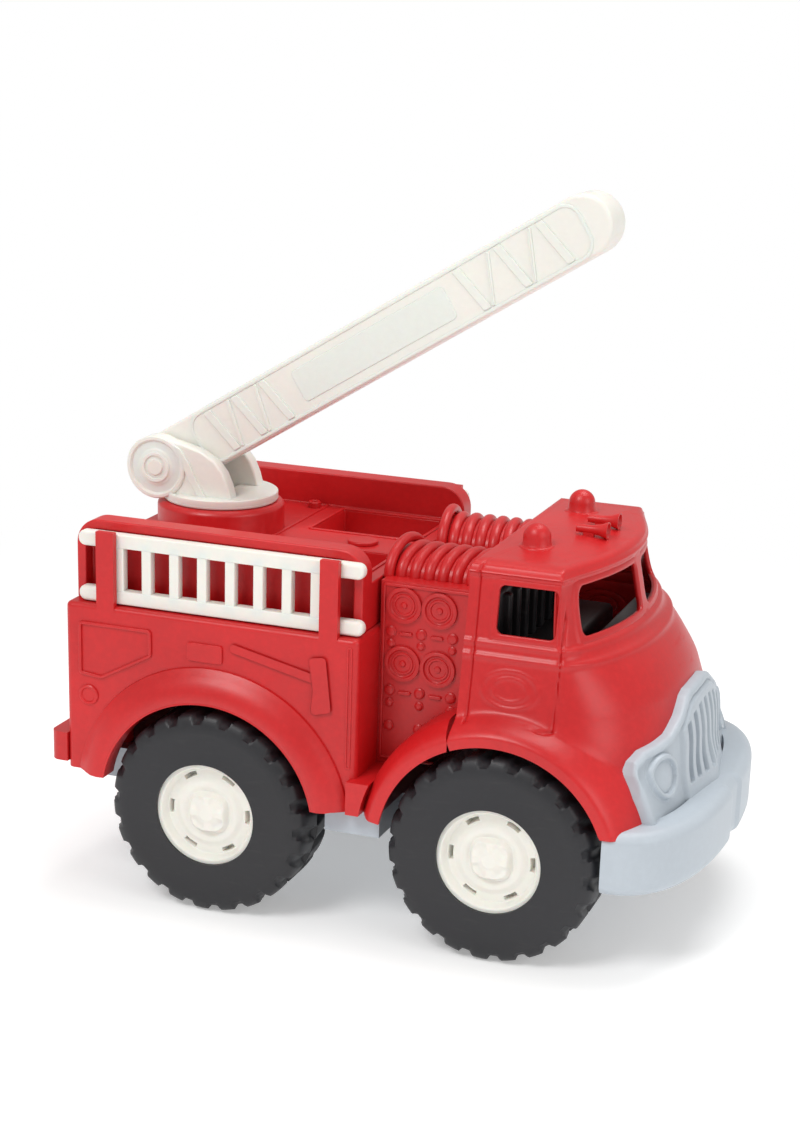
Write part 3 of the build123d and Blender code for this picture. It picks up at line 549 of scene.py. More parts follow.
def make_cab():
    """Outer skin of the cab as a grid over plan and height: superellipse plan, smooth
    levels, a fender that reaches out to fender_edge(radius from the axle), and moulded
    relief added along the normal. Windows are holes in the grid; a wall is then grown inwards."""
    side_win = (127.0, 145.4)
    skirt_z, belt_z, eave_z = 58.0, 96.0, 149.0
    f_rear = 1 + (SHOULDER - 49.6) / (SHOULDER - CAB_REAR)
    f_front, pane_out, pane_in = 1.0, 0.56, 0.035
    marks = [0.0, pane_in, pane_out, f_front, f_rear, 2.0]
    half = []
    for low, high, n in zip(marks[:-1], marks[1:], (3, 56, 30, 34, 22)):
        half += list(np.linspace(low, high, n, endpoint=False))
    half = np.array(half + [2.0])
    f = np.concatenate([-half[::-1], half[1:]])
    z_hard = [belt_z, *side_win, eave_z]
    rows = []
    for low, high, n in zip(z_hard[:-1], z_hard[1:], (52, 26, 5)):
        rows += list(np.linspace(low, high, n, endpoint=False))
    upper = np.array(rows + [eave_z])
    start = np.full_like(f, skirt_z)
    for _ in range(4):
        x = cab_point(f, start)[0]
        dx = np.clip(1 - ((x - FRONT_X) / ARCH_R) ** 2, 0, 1)
        start = np.maximum(skirt_z, AXLE_Z + ARCH_R * np.sqrt(dx))
    start = np.minimum(start, belt_z - 2.0)
    t = np.linspace(0, 1, 60, endpoint=False)[:, None]
    z = np.concatenate([start + (belt_z - start) * t, upper[:, None] + 0 * f])
    ff = f + 0 * z
    keep_f, keep_z = ff.copy(), z.copy()
    span_front = 90.0
    for sign in (-1, 1):
        ff, z = round_hole(ff, z, *sorted((sign * f_front, sign * f_rear)), *side_win, 35.5, 2.6)
        ff, z = round_hole(ff, z, *sorted((sign * pane_in, sign * pane_out)), *side_win,
                           span_front, 3.2)
    x, y = cab_point(ff, z)
    r = np.hypot(x - FRONT_X, z - AXLE_Z)
    bulge = fender_edge(r)
    side_sign = np.sign(ff) + (ff == 0)
    wide = np.maximum(np.abs(y), bulge * smoothstep(0.06, 0.3, np.abs(ff)))
    wide = wide + 0.9 * np.exp(-np.abs(np.abs(y) - bulge) / 2.2) * (wide < LIP_Y - 1.5)
    y = np.where(np.abs(ff) > 1e-6, side_sign * wide, 0.0)
    points = np.stack([x, y, z], -1)
    du, dv = np.gradient(points, axis=1), np.gradient(points, axis=0)
    normal = np.cross(du, dv)
    normal /= np.linalg.norm(normal, axis=-1)[..., None] + 1e-12
    outward = np.sum(normal[..., :2] * (points[..., :2] - (60, 0)), -1)
    normal *= np.where(outward < 0, -1, 1)[..., None]
    relief = 0.9 * (ridge(z, 118.3, 1.2) + ridge(z, 123.2, 1.1))
    relief += 1.0 * smoothstep(147.3, 148.4, z)
    door = smoothstep(93.0, 95.0, z) * (np.abs(ff) > 0.7)
    for seam in SEAMS:
        relief -= 0.9 * ridge(x, seam, 0.45) * door
    relief -= 0.8 * ridge(z, 94.0, 0.5) * (x > SEAMS[0]) * (x < SEAMS[1]) * (np.abs(y) < 72)
    seal = np.hypot((x - 57.5) / 11.0, (z - 107.0) / 7.0)
    relief += 0.45 * (ridge(seal, 1.0, 0.09) + ridge(seal, 0.62, 0.08)) * (np.abs(y) > 50)
    rim_side = smoothstep(0.07, 0.045, np.abs(np.abs(ff) - (f_front + f_rear) / 2)
                                - (f_rear - f_front) / 2)
    rim_front = smoothstep(0.06, 0.035, np.abs(np.abs(ff) - (pane_in + pane_out) / 2)
                           - (pane_out - pane_in) / 2)
    level = smoothstep(2.4, 1.6, np.abs(z - sum(side_win) / 2) - (side_win[1] - side_win[0]) / 2)
    relief += 0.5 * np.maximum(rim_side, rim_front) * level
    points = points + normal * (relief * smoothstep(0, 1.2, keep_z - start))[..., None]
    points[..., 0] = np.maximum(points[..., 0], CAB_REAR + 0.2)
    crown = []
    edge = points[-1]
    middle = np.array((62.0, 0.0, 0.0))
    for s, z_up in CROWN:
        loop = middle + (edge - middle) * np.array((s, s, 1.0))
        loop[:, 2] = z_up
        loop[:, 0] = np.maximum(loop[:, 0], CAB_REAR + 0.2)
        crown.append(loop)
    points = np.concatenate([points, np.stack(crown)])
    nu, nv = points.shape[:2]
    index = np.arange(nu * nv).reshape(nu, nv)
    cell_f = np.abs((keep_f[:-1, :-1] + keep_f[1:, 1:]) / 2)
    cell_z = (keep_z[:-1, :-1] + keep_z[1:, 1:]) / 2
    level = (cell_z > side_win[0]) & (cell_z < side_win[1])
    hole = level & (((cell_f > f_front) & (cell_f < f_rear))
                    | ((cell_f > pane_in) & (cell_f < pane_out)))
    faces = []
    for i in range(nu - 1):
        for j in range(nv):
            k = (j + 1) % nv
            if i < hole.shape[0] and j < hole.shape[1] and hole[i, j]:
                continue
            if j == nv - 1 and points[i, j, 2] < belt_z:
                continue
            faces.append([index[i, j], index[i, k], index[i + 1, k], index[i + 1, j]])
    faces.append(index[-1].tolist())
    shape = Shape()
    shape.add(points, faces)
    skin = piece("cab_skin", shape, "truck", RED, ["cab_shell"], smooth=50)
    wall = skin.modifiers.new("wall", "SOLIDIFY")
    wall.thickness, wall.offset = 2.2 * MM, -1.0


make_cab()


def make_interior():
    """Black moulding in the cab: floor, bench, ribbed seat back with a rim, and dash."""
    shape = Shape()
    floor_z = corner("cab_interior", False)[2]
    rear = CAB_REAR + 3.0
    prism(shape, rounded(box_outline(rear, 92.0, -52.0, 52.0), 6.0), floor_z, floor_z + 3.0,
          plane="xy", radius=0.8)
    prism(shape, rounded(box_outline(rear, 66.0, floor_z + 1.0, 112.0), 3.0), -51.0, 51.0,
          radius=1.5)
    prism(shape, rounded(box_outline(rear, 47.5, floor_z + 1.0, 140.5), 2.5), -51.5, 51.5,
          radius=1.5)
    prism(shape, rounded(box_outline(78.0, 88.5, floor_z + 1.0, 121.0), 2.5), -42.0, 42.0,
          radius=1.5)
    for i in range(9):
        y = -44.0 + 11.0 * i
        prism(shape, rounded(box_outline(46.5, 50.2, 113.0, 138.5), 1.6), y - 1.8, y + 1.8,
              radius=0.9)
    piece("cab_seat_and_dash", shape, "truck", BLACK, ["cab_interior"],
          smooth=40)


make_interior()


def fender_tail(axle_x, low_angle, high_angle, outer, inner_y):
    """The part of a front fender behind the cab: its section swept round the arch."""
    r = np.linspace(ARCH_R, outer - 1.2, 12)
    top = [(fender_edge(v), v) for v in r]
    last = top[-1][0]
    section = top + [(last - 2.0, outer - 0.3), (last - 4.5, outer), (inner_y, outer),
                     (inner_y, outer - 2.5), (last - 4.0, outer - 2.5), (last - 3.0, 51.0),
                     (LIP_Y - 3.5, 48.5), (LIP_Y - 3.2, ARCH_R + 0.5), (LIP_Y - 1.5, ARCH_R - 0.1)]
    section = np.array(section)
    a = np.radians(np.linspace(low_angle, high_angle, 60))[:, None]
    y = -section[None, :, 0] + 0 * a
    points = np.stack([axle_x + section[None, :, 1] * np.cos(a), y,
                       AXLE_Z + section[None, :, 1] * np.sin(a)], -1)
    shape = Shape()
    shape.add(*grid(points, close_v=True, cap_u=True))
    return shape


piece("front_fender_tails", fender_tail(FRONT_X, 112.0, 170.0, FRONT_FLARE_R, 49.5).mirrored(),
      "truck", RED, smooth=40)


def rear_fender():
    """Rounded lip laid over the rear arch, with a small step where it meets the side."""
    profile = [(LIP_Y - 2.0, ARCH_R + 0.1), (LIP_Y - 0.4, ARCH_R + 0.2), (LIP_Y, ARCH_R + 1.0),
               (LIP_Y + 0.1, ARCH_R + 3.0), (LIP_Y - 0.6, ARCH_R + 6.0),
               (LIP_Y - 2.2, ARCH_R + 9.0), (LIP_Y - 3.9, ARCH_R + 11.0),
               (LIP_Y - 5.0, ARCH_R + 12.3), (LIP_Y - 5.7, ARCH_R + 13.3),
               (LIP_Y - 6.8, ARCH_R + 13.6), (LIP_Y - 7.4, ARCH_R + 13.6),
               (LIP_Y - 7.4, ARCH_R + 8.0), (LIP_Y - 5.0, ARCH_R + 3.0)]
    section = np.array(profile)
    low = math.degrees(math.asin((SILL_Z + 0.05 - AXLE_Z) / (ARCH_R + 6)))
    a = np.radians(np.linspace(low, 180 - low, 121))[:, None]
    y = -section[None, :, 0] + 0 * a
    z = np.maximum(AXLE_Z + section[None, :, 1] * np.sin(a), SILL_Z)
    x = np.maximum(REAR_X + section[None, :, 1] * np.cos(a), BODY_REAR + 0.3)
    shape = Shape()
    shape.add(*grid(np.stack([x, y, z], -1), close_v=True, cap_u=True))
    return shape


piece("rear_fender_lips", rear_fender().mirrored(), "truck", RED, smooth=30)


def make_roof_fittings():
    """Two domed beacons, and two horns on feet, on the cab roof."""
    fittings = Shape()
    for beacon_y in (-31.0, 31.0):
        dome = [(7.4, 151.5), (7.4, 154.2), (6.9, 154.8), (5.9, 155.1), (5.5, 155.9)]
        dome += [(5.4 * math.cos(a), 158.1 + 5.4 * math.sin(a))
                 for a in np.linspace(0.05, math.pi / 2 - 0.02, 14)]
        lathe(fittings, dome, (FRONT_X - 1.0, beacon_y, 0.0), n=48)
    for horn_y in (-8.5, 8.5):
        bell = [(0.6, 64.0), (1.5, 64.2), (1.7, 66.0), (1.7, 70.0), (2.2, 73.5), (3.2, 76.2),
                (3.5, 77.0), (3.0, 77.0), (1.8, 74.5), (0.4, 73.5)]
        lathe(fittings, bell, (0.0, horn_y, 157.6), axis="x", n=32)
        foot = rounded(box_outline(67.0, 71.5, 153.4, 157.6), 0.8)
        prism(fittings, foot, horn_y - 1.2, horn_y + 1.2, radius=0.4)
    piece("beacons_and_horns", fittings, "truck", RED, smooth=45)


make_roof_fittings()


# ------------------------------------------------------------------ grille and bumper
GRILLE_Y = (0.0, 12.0, 17.0, 26.0, 36.0, 44.0, 52.0, 57.0, 60.0, 62.0)
GRILLE_TOP = (99.6, 99.3, 98.0, 92.5, 88.0, 86.6, 85.6, 82.5, 77.5, 70.0)


def nose_x(y, z):
    """How far forward the cab's nose or a fender's front reaches at a place (y, z)."""
    nose, half, bow, power = (smooth_table(z, CAB_Z, row)
                              for row in (CAB_NOSE, CAB_HALF, CAB_BOW, CAB_POWER))
    across = np.clip(np.abs(y) / half, 0, 1)
    plan = SHOULDER + ((nose - bow * across ** 2 - SHOULDER)
                       * (1 - across ** power) ** (1 / power))
    radii = np.linspace(46.0, 70.0, 241)
    reach = np.interp(-np.abs(y), -fender_edge(radii), radii)
    fender = FRONT_X + np.sqrt(np.maximum(reach ** 2 - (z - AXLE_Z) ** 2, 0))
    gap = plan - fender
    return (plan + fender + np.sqrt(gap ** 2 + 14.0)) / 2


def make_grille():
    """A plate wrapped round the nose: at each place it stands off the nose along its
    normal by depth(y, z), with seven arched slots and two ringed headlamps."""
    half_width, bottom, lamp_y, lamp_z, slot_pitch = 62.0, 58.4, 44.0, 73.5, 7.4
    y = np.linspace(-half_width, half_width, 421)
    top = np.interp(np.abs(y), GRILLE_Y, GRILLE_TOP)
    z = bottom + (top - bottom) * np.linspace(0, 1, 110)[:, None]
    y = y + 0 * z
    points = np.stack([nose_x(y, z), y, z], -1)
    normal = np.cross(np.gradient(points, axis=1), np.gradient(points, axis=0))
    normal /= np.linalg.norm(normal, axis=-1)[..., None]
    normal *= np.where(normal[..., :1] < 0, -1, 1)
    for _ in range(30):
        normal[:, 1:-1] = (normal[:, :-2] + normal[:, 2:] + 2 * normal[:, 1:-1]) / 4
        normal[1:-1] = (normal[:-2] + normal[2:] + 2 * normal[1:-1]) / 4
    normal /= np.linalg.norm(normal, axis=-1)[..., None]
    margin = np.minimum(top - z, half_width + 0.2 - np.abs(y))
    edge = np.sqrt(np.clip(1 - (1 - np.clip(margin / 2.2, 0, 1)) ** 2, 0, 1))
    depth = 0.9 + 3.2 * edge
    depth -= 1.3 * smoothstep(2.8, 3.8, margin)
    depth += 1.7 * smoothstep(29.5, 27.0, np.abs(y)) * smoothstep(3.0, 5.5, margin)
    rib = ((y / slot_pitch) + 0.5) % 1.0 - 0.5
    arch = 92.5 - 0.008 * y ** 2
    depth -= (3.4 * smoothstep(0.30, 0.18, np.abs(rib)) * smoothstep(arch, arch - 1.5, z)
              * smoothstep(64.0, 65.5, z) * (np.abs(y) < 26.0))
    lamp = np.hypot(np.abs(y) - lamp_y, z - lamp_z)
    depth = np.where(lamp < 10.2, np.maximum(depth, 3.0), depth)
    depth += 2.2 * smoothstep(9.6, 8.6, lamp) - 1.7 * smoothstep(7.6, 6.8, lamp)
    depth += 1.2 * np.sqrt(np.clip(1 - (lamp / 6.4) ** 2, 0, 1))
    front = points + normal * depth[..., None]
    back = points - (3.0, 0.0, 0.0)
    verts, faces = grid(front)
    count = z.size
    faces += [[i + count for i in quad][::-1] for quad in grid(back)[1]]
    index = np.arange(count).reshape(z.shape)
    rim = np.concatenate([index[0], index[1:, -1], index[-1, -2::-1], index[-2:0:-1, 0]])
    after = np.roll(rim, -1)
    faces += np.stack([rim, rim + count, after + count, after], 1).tolist()
    shape = Shape()
    shape.add(np.concatenate([verts, back.reshape(-1, 3)]), faces)
    return shape


def make_bumper(shape):
    """A deep rounded bar: superellipse plan swept by its section, with a shallow centre
    notch; section(y, z) is a rounded rectangle that tapers at the two ends."""
    a = np.linspace(-1.0, 1.0, 241) * math.pi / 2
    power = 2.5
    ball = (np.abs(np.cos(a)) ** power + np.abs(np.sin(a)) ** power) ** (-1 / power)
    cx, sy = np.abs(np.cos(a)) * ball, np.sin(a) * ball
    low, high, radius = 35.2, 60.6, 4.6
    section = []
    for ox, oz, start in ((-radius, high - radius, 90), (-radius, low + radius, 0)):
        for i in range(9):
            v = math.radians(start - 90 * i / 8)
            section.append((ox + radius * math.cos(v), oz + radius * math.sin(v)))
    section = [(-12.0, high)] + section + [(-12.0, low), (-12.0, low + 6), (-12.0, high - 6)]
    section = np.array(section)
    inset = section[None, :, 0]
    reach, half = BUMPER_HIGH[0] - 99.5, 78.0
    notch = 1.3 * smoothstep(8.5, 6.5, np.abs(half * sy))[:, None]
    x = 99.5 + (reach + inset - notch) * cx[:, None]
    y = (half + inset) * sy[:, None]
    z = section[None, :, 1] + 0 * x
    shape.add(*grid(np.stack([x, y, z], -1), close_v=True, cap_u=True))
    return shape


piece("grille_and_bumper", make_bumper(make_grille()), "truck", GREY,
      ["grille_bumper"], smooth=45)


# ------------------------------------------------------------------ hose coils
def make_coil(node, side):
    """Five turns of a hose laid over a hump: each turn is a round section swept along a
    half-ellipse across the truck, leaning forward a little like a helix."""
    shape = Shape()
    centre = side * 26.0
    a = np.linspace(-0.03, math.pi + 0.03, 46)
    ring = np.linspace(0, 2 * math.pi, 20, endpoint=False)
    turns = [(PUMP_REAR + 1.9, 2.0, 17.6, 13.6)]
    turns += [(PUMP_REAR + 6.4 + i * 5.75, 2.3, 16.2, 10.9) for i in range(6)]
    for x0, thick, span, height in turns:
        mid = np.stack([x0 + 1.6 * np.cos(a) * side * -1, centre + (span - thick) * np.cos(a),
                        DECK_Z + (height - thick) * np.sin(a)], -1)
        out = np.stack([0 * a, np.cos(a) / span, np.sin(a) / height], -1)
        out /= np.linalg.norm(out, axis=1)[:, None]
        along = np.array((1.0, 0.0, 0.0))
        loop = (mid[:, None] + out[:, None] * (thick * np.cos(ring))[None, :, None]
                + along * (thick * 1.05 * np.sin(ring))[None, :, None])
        shape.add(*grid(loop, close_v=True, cap_u=True))
    hump = [(centre + 14.6 * math.cos(v), DECK_Z + 8.6 * math.sin(v)) for v in a]
    prism(shape, np.array(hump), PUMP_REAR + 0.6, PUMP_FRONT - 0.2, plane="yz", radius=0.4)
    piece(node + "_turns", shape, "truck", RED, [node], smooth=50)


make_coil("hose_coil_right", -1)
make_coil("hose_coil_left", 1)


# ------------------------------------------------------------------ side ladders
def make_ladder(name, side):
    """Two thin rails with thick rounded ends past the posts, joined by eight rungs."""
    shape = Shape()
    low, high = corner("side_ladder_" + name, False), corner("side_ladder_" + name, True)
    shift = low[0] - LADDER_LOW[0]
    y0, y1 = low[1] + 0.1, high[1] - 0.1
    for z0, z1, zr0, zr1 in ((low[2], low[2] + 6.2, low[2] + 0.2, low[2] + 5.7),
                             (high[2] - 6.2, high[2], high[2] - 5.7, high[2] - 0.2)):
        prism(shape, rounded(box_outline(-112.0 + shift, -10.4 + shift, zr0, zr1), 1.0), y0, y1,
              radius=0.5)
        for x0, x1 in ((low[0], low[0] + 13.0), (high[0] - 13.0, high[0])):
            prism(shape, rounded(box_outline(x0, x1, z0, z1), 2.9, 8), low[1], high[1],
                  radius=1.3)
    for rung in range(8):
        x = low[0] + 15.6 + rung * 11.9
        prism(shape, rounded(box_outline(x, x + 4.1, low[2] + 3.0, high[2] - 3.0), 0.9),
              y0 + 0.2, y1 - 0.2, radius=0.5)
    piece(f"side_ladder_{name}_bars", shape, "ladder_" + name, WHITE,
          ["side_ladder_" + name], smooth=40)


make_ladder("right", -1)
make_ladder("left", 1)


# ------------------------------------------------------------------ pump panel fittings
def make_gauges():
    """Ringed dials and rows of small valve knobs, one set on each side of the pump."""
    shape = Shape()
    y = -PUMP_Y
    for x, z in ((8.5, 129.5), (23.0, 129.0), (8.5, 106.0), (23.0, 105.5)):
        dial = [(7.2, 0.3), (7.2, -0.9), (6.7, -1.25), (5.9, -1.2), (5.4, -0.5), (5.2, -0.35),
                (4.6, -0.35), (4.3, -0.75), (3.6, -0.75), (3.3, -0.3), (1.4, -0.3), (1.1, -0.8),
                (0.1, -0.95)]
        lathe(shape, dial, (x, y, z), axis="y", n=56)
    for z, radius in ((118.5, 1.7), (113.8, 1.2), (94.6, 1.7), (89.5, 1.3), (80.0, 1.6)):
        for x in (3.4, 15.8, 28.6):
            knob = [(radius + 0.5, 0.2), (radius + 0.5, -0.4), (radius, -0.7), (radius, -1.0),
                    (radius * 0.6, -1.2), (0.1, -1.2)]
            lathe(shape, knob, (x, y, z), axis="y", n=24)
    for x in (9.6, 22.2):
        for z in (118.0, 94.0):
            bar = rounded(box_outline(x - 2.6, x + 2.6, z - 0.7, z + 0.7), 0.6)
            prism(shape, bar, y - 0.9, y + 0.4, radius=0.3)
    rim = rounded(box_outline(PUMP_REAR + 0.8, PUMP_FRONT - 0.6, 66.0, DECK_Z - 0.8), 1.5)
    frame_bar(shape, rim, 1.2, y - 0.7, y + 0.6, radius=0.3)
    piece("pump_fittings", shape.mirrored(), "truck", RED, smooth=35)


make_gauges()


# ------------------------------------------------------------------ body side relief
def make_side_relief():
    """Shallow moulded detail on both body sides: hatch outline, filler, plate and axe."""
    shape = Shape()
    y, proud = -BODY_Y, 0.9
    hatch = rounded([(-120, 113), (-120, 91), (-110, 90), (-88, 102), (-88, 113)], 1.8)
    frame_bar(shape, hatch, 1.3, y - proud, y + 0.5, radius=0.35)
    lathe(shape, [(4.2, 0.3), (4.2, -0.5), (3.8, -0.8), (3.1, -0.7), (2.8, -0.2), (0.1, -0.2)],
          (-116.0, y, 82.5), axis="y", n=40)
    plate = rounded(box_outline(-72.5, -57.5, 103.0, 110.5), 1.2)
    prism(shape, plate, y - proud, y + 0.5, radius=0.35)
    handle = rounded([(-54, 109.2), (-53.4, 111.8), (-16.5, 103.6), (-17.2, 100.8)], 1.1)
    prism(shape, handle, y - 0.9, y + 0.5, radius=0.4)
    head = rounded([(-20.5, 110.5), (-14.5, 111.5), (-13.0, 99.0), (-12.0, 90.5), (-19.5, 88.5),
                    (-18.6, 98.0)], 1.2)
    prism(shape, head, y - 1.1, y + 0.5, radius=0.5)
    frame_bar(shape, rounded(box_outline(-5.6, -3.4, 68.0, 117.0), 0.9), 0.7, y - 0.4, y + 0.5,
              radius=0.2)
    piece("body_relief", shape.mirrored(), "truck", RED, smooth=35)


make_side_relief()


def make_deck_relief():
    """Low ribs on the deck: rims round the two bays, a cross rib, and a hollow peg."""
    shape = Shape()
    for side in (-1, 1):
        near, far = sorted((side * 13.0, side * 50.0))
        bay = rounded(box_outline(-57.6, -8.4, near - 1.6, far + 1.6), 2.0)
        frame_bar(shape, bay, 1.5, DECK_Z - 0.6, DECK_Z + 0.6, plane="xy", radius=0.35)
    prism(shape, rounded(box_outline(-66.0, -64.4, -53.8, 53.8), 0.5), DECK_Z - 0.6,
          DECK_Z + 0.6, plane="xy", radius=0.3)
    lathe(shape, [(2.8, DECK_Z - 0.5), (2.8, DECK_Z + 2.2), (2.4, DECK_Z + 2.7),
                  (1.6, DECK_Z + 2.7), (1.3, DECK_Z + 2.3), (1.3, DECK_Z + 0.4),
                  (0.05, DECK_Z + 0.4)], (-69.5, 48.5, 0.0), n=32)
    piece("deck_relief", shape, "truck", RED, smooth=35)


make_deck_relief()


# ------------------------------------------------------------------ turntable and boom
def make_turntable():
    """Disc with two fork ears, each with a round drum, rings and a rib down to the disc."""
    shape, ears = Shape(), Shape()
    base = COLLAR_TOP + 0.25
    disc_r, slot, slot_front = 23.6, 10.45, -88.0
    stem_in, stem_out, stem_foot = 15.2, 17.5, 131.2
    ear_out, drum_r = 16.9, 13.0
    lathe(shape, [(0.1, base), (disc_r - 0.4, base), (disc_r, base + 0.5),
                  (disc_r, base + 1.0), (disc_r - 0.3, base + 1.3), (0.1, base + 1.3)],
          (COLLAR_X, 0.0, 0.0), n=96)
    open_angle = math.pi - math.asin(slot / disc_r)
    rim = [(COLLAR_X + disc_r * math.cos(v), disc_r * math.sin(v))
           for v in np.linspace(-open_angle, open_angle, 72)]
    rim += [(slot_front, slot), (slot_front, -slot)]
    prism(shape, np.array(rim), base + 0.9, base + 3.7, plane="xy", radius=0.5)
    lathe(shape, [(stem_in, base + 0.4), (stem_out, base + 0.4), (stem_out, stem_foot),
                  (stem_in, stem_foot)],
          (COLLAR_X, 0.0, 0.0), n=64, closed=True)
    low = base + 2.5
    turn = np.radians(np.linspace(205, 62, 26))
    ear = [(PIVOT_X + drum_r * math.cos(v), PIVOT_Z + drum_r * math.sin(v)) for v in turn]
    ear += [(-99.0, 174.4), (-93.0, 172.6), (-87.0, 169.2), (-83.2, 164.6), (-81.0, 159.6),
            (-79.2, low), (-112.6, low)]
    ear = np.array(ear)[::-1]
    prism(ears, ear, -ear_out, -slot, radius=0.9)
    drum = [(drum_r, 0.5), (drum_r, -0.6), (12.5, -1.1), (11.4, -1.15), (10.9, -0.6), (10.6, -0.2),
            (8.0, -0.2), (7.5, -0.5)]
    lathe(ears, drum + [(7.0, -0.9), (0.1, -0.9)], (PIVOT_X, -ear_out, PIVOT_Z), axis="y",
          n=72)
    rib = [(-105.5, 175.0), (-101.8, 173.2), (-97.6, 167.0), (-94.6, 160.5), (-89.6, low),
           (-93.4, low), (-98.0, 160.0), (-101.0, 166.6), (-104.8, 171.6)]
    prism(ears, rounded(np.array(rib)[::-1], 0.7, 3), -ear_out - 1.0, -ear_out + 0.5,
          radius=0.4)
    pair = ears.mirrored()
    shape.add(np.concatenate(pair.verts), pair.faces)
    piece("turntable_fork", shape, "turntable", WHITE, ["turntable"],
          smooth=40)
    pin = Shape()
    reach = 17.0
    head = [(0.1, 1.5), (3.0, 1.5), (3.3, 1.2), (3.5, 0.5), (4.6, 0.5), (5.0, 1.4), (6.0, 1.4),
            (6.4, 1.0), (6.4, 0.0), (3.9, 0.0)]
    lathe(pin, [(r, -reach - h) for r, h in head] + [(r, reach + h) for r, h in head[::-1]],
          (PIVOT_X, 0.0, PIVOT_Z), axis="y", n=48)
    piece("boom_pin_heads", pin, "turntable", WHITE, ["boom_pin"], smooth=40)


def make_boom():
    """Boom in its own level frame, then raised: a closed bar with a round tip and heel,
    and ladder-like relief ribs near both ends of each side."""
    shape = Shape()
    half, length, wide, rib_reach, sunk = 12.0, 216.0, 9.6, 9.6, 0.6
    tip = [(length - half + half * math.cos(v), half * math.sin(v))
           for v in np.linspace(-math.pi / 2, math.pi / 2, 28)]
    heel = [(half * math.cos(v), half * math.sin(v))
            for v in np.linspace(math.pi / 2, 3 * math.pi / 2, 28)]
    outline = np.array(tip + heel)
    prism(shape, outline, -wide, wide, radius=1.6, steps=5)
    ribs = []
    for x0 in (27.0, 41.0, 55.0, 150.0, 169.0, 188.0):
        ribs.append([(x0, rib_reach), (x0 + 4.6, -rib_reach), (x0 + 8.2, -rib_reach),
                     (x0 + 3.6, rib_reach)])
    for x0, run in ((31.5, 12.0), (45.5, 12.0), (154.5, 16.0), (173.5, 16.0)):
        ribs.append([(x0 + 3.6, -rib_reach), (x0 + 5.2, -rib_reach),
                     (x0 + run - 3.0, rib_reach), (x0 + run - 4.6, rib_reach)])
    edge = rounded(box_outline(18.0, 206.0, -11.3, 11.3), 7.0)
    panel = rounded(box_outline(70.0, 144.0, -6.8, 6.8), 2.0)
    for side in (-1, 1):
        inside = side * (wide - sunk)
        for rib in ribs:
            prism(shape, rounded(rib, 0.7, 3), *sorted((inside, side * (wide + 0.75))),
                  radius=0.45)
        frame_bar(shape, edge, 1.4, *sorted((inside, side * (wide + 0.45))), radius=0.4)
        prism(shape, panel, *sorted((inside, side * (wide + 0.4))), radius=0.35)
    points = np.concatenate(shape.verts)
    tilt = math.radians(32.0)
    x = points[:, 0] * math.cos(tilt) - points[:, 2] * math.sin(tilt) + PIVOT_X
    z = points[:, 0] * math.sin(tilt) + points[:, 2] * math.cos(tilt) + PIVOT_Z
    raised = Shape()
    raised.add(np.stack([x, points[:, 1], z], 1), shape.faces)
    piece("boom_arm", raised, "boom", WHITE, ["boom"], smooth=40)


make_turntable()
make_boom()


# ------------------------------------------------------------------ camera, floor and light
def aim_camera():
    """A long lens a little above the truck's right front corner."""
    azimuth, elevation, roll = (math.radians(a) for a in (19.25, 18.74, 1.95))
    back = np.array((math.sin(azimuth) * math.cos(elevation),
                     -math.cos(azimuth) * math.cos(elevation), math.sin(elevation)))
    right = np.array((math.cos(azimuth), math.sin(azimuth), 0.0))
    up = np.cross(back, right)
    across = right * math.cos(roll) + up * math.sin(roll)
    upward = up * math.cos(roll) - right * math.sin(roll)
    place = (np.array((-0.2, 0.0, 70.22)) + back * 926.88) * MM
    data = bpy.data.cameras.new("camera")
    data.lens, data.sensor_width = 70.94, 36.0
    data.shift_x, data.shift_y = -0.0190, 0.1261
    data.clip_start, data.clip_end = 0.05, 20.0
    camera = bpy.data.objects.new("camera", data)
    camera.matrix_world = Matrix([(*across,), (*upward,), (*back,)]).transposed().to_4x4()
    camera.location = place
    bpy.context.scene.collection.objects.link(camera)
    bpy.context.scene.camera = camera


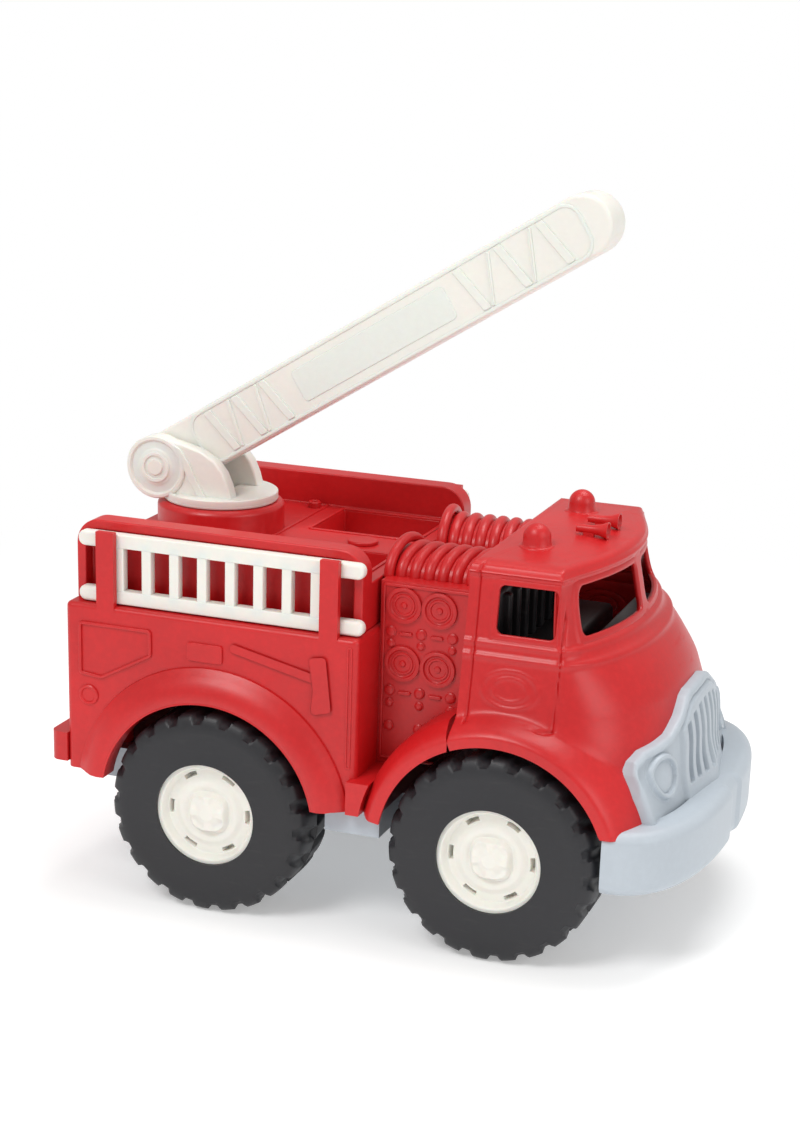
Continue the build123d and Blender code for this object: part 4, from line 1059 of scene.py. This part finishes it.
def lay_floor():
    """A pale sweep that keeps the shadow near the truck and fades into a white room."""
    mesh = bpy.data.meshes.new("floor")
    reach = 6.0
    mesh.from_pydata([(-reach, -reach, 0), (reach, -reach, 0), (reach, reach, 0),
                      (-reach, reach, 0)], [], [(0, 1, 2, 3)])
    floor = bpy.data.objects.new("floor", mesh)
    bpy.context.scene.collection.objects.link(floor)
    material, principled, place = new_material("floor_paper")
    tree = place.tree
    paper = mix((0.80, 0.80, 0.80, 1.0), (0.84, 0.84, 0.84, 1.0), place.noise(3.0))
    feed(principled, Base_Color=paper, Roughness=0.9, Specular_IOR_Level=0.1,
         Emission_Color=(1.0, 1.0, 1.0, 1.0), Emission_Strength=0.30)
    distance = place.make("ShaderNodeVectorMath", {0: place}, output="Value",
                          operation="LENGTH")
    fade = distance.step(0.16, 0.60)
    glow = tree.nodes.new("ShaderNodeEmission")
    glow.inputs["Color"].default_value = (1.0, 1.0, 1.0, 1.0)
    blend = tree.nodes.new("ShaderNodeMixShader")
    tree.links.new(fade.socket, blend.inputs[0])
    tree.links.new(principled.outputs[0], blend.inputs[1])
    tree.links.new(glow.outputs[0], blend.inputs[2])
    tree.links.new(blend.outputs[0], tree.nodes["Material Output"].inputs["Surface"])
    mesh.materials.append(material)


def light_room():
    """A white room for the camera, soft level light for the truck."""
    world = bpy.data.worlds.new("room")
    bpy.context.scene.world = world
    world.use_nodes = True
    tree = world.node_tree
    tree.nodes.clear()
    rays = tree.nodes.new("ShaderNodeLightPath")
    seen, lit = tree.nodes.new("ShaderNodeBackground"), tree.nodes.new("ShaderNodeBackground")
    seen.inputs["Color"].default_value = (1.0, 1.0, 1.0, 1.0)
    lit.inputs["Color"].default_value = (1.0, 0.99, 0.97, 1.0)
    lit.inputs["Strength"].default_value = 0.50
    blend, out = tree.nodes.new("ShaderNodeMixShader"), tree.nodes.new("ShaderNodeOutputWorld")
    tree.links.new(rays.outputs["Is Camera Ray"], blend.inputs[0])
    tree.links.new(lit.outputs[0], blend.inputs[1])
    tree.links.new(seen.outputs[0], blend.inputs[2])
    tree.links.new(blend.outputs[0], out.inputs["Surface"])
    lamps = (("key", (-0.4, -1.1, 1.4), 0.7, 13.0), ("fill", (1.3, -0.5, 0.7), 0.9, 4.5),
             ("top", (0.2, 0.4, 1.6), 0.9, 11.0))
    for name, place, size, power in lamps:
        data = bpy.data.lights.new(name, "AREA")
        data.shape, data.size, data.energy = "DISK", size, power
        lamp = bpy.data.objects.new(name, data)
        lamp.location = place
        toward = Matrix.Translation((0, 0, 0.08)).translation - lamp.location
        lamp.rotation_euler = toward.to_track_quat("-Z", "Y").to_euler()
        bpy.context.scene.collection.objects.link(lamp)


aim_camera()
lay_floor()
light_room()
bpy.context.scene.view_settings.view_transform = "Standard"
bpy.context.scene.view_settings.look = "None"
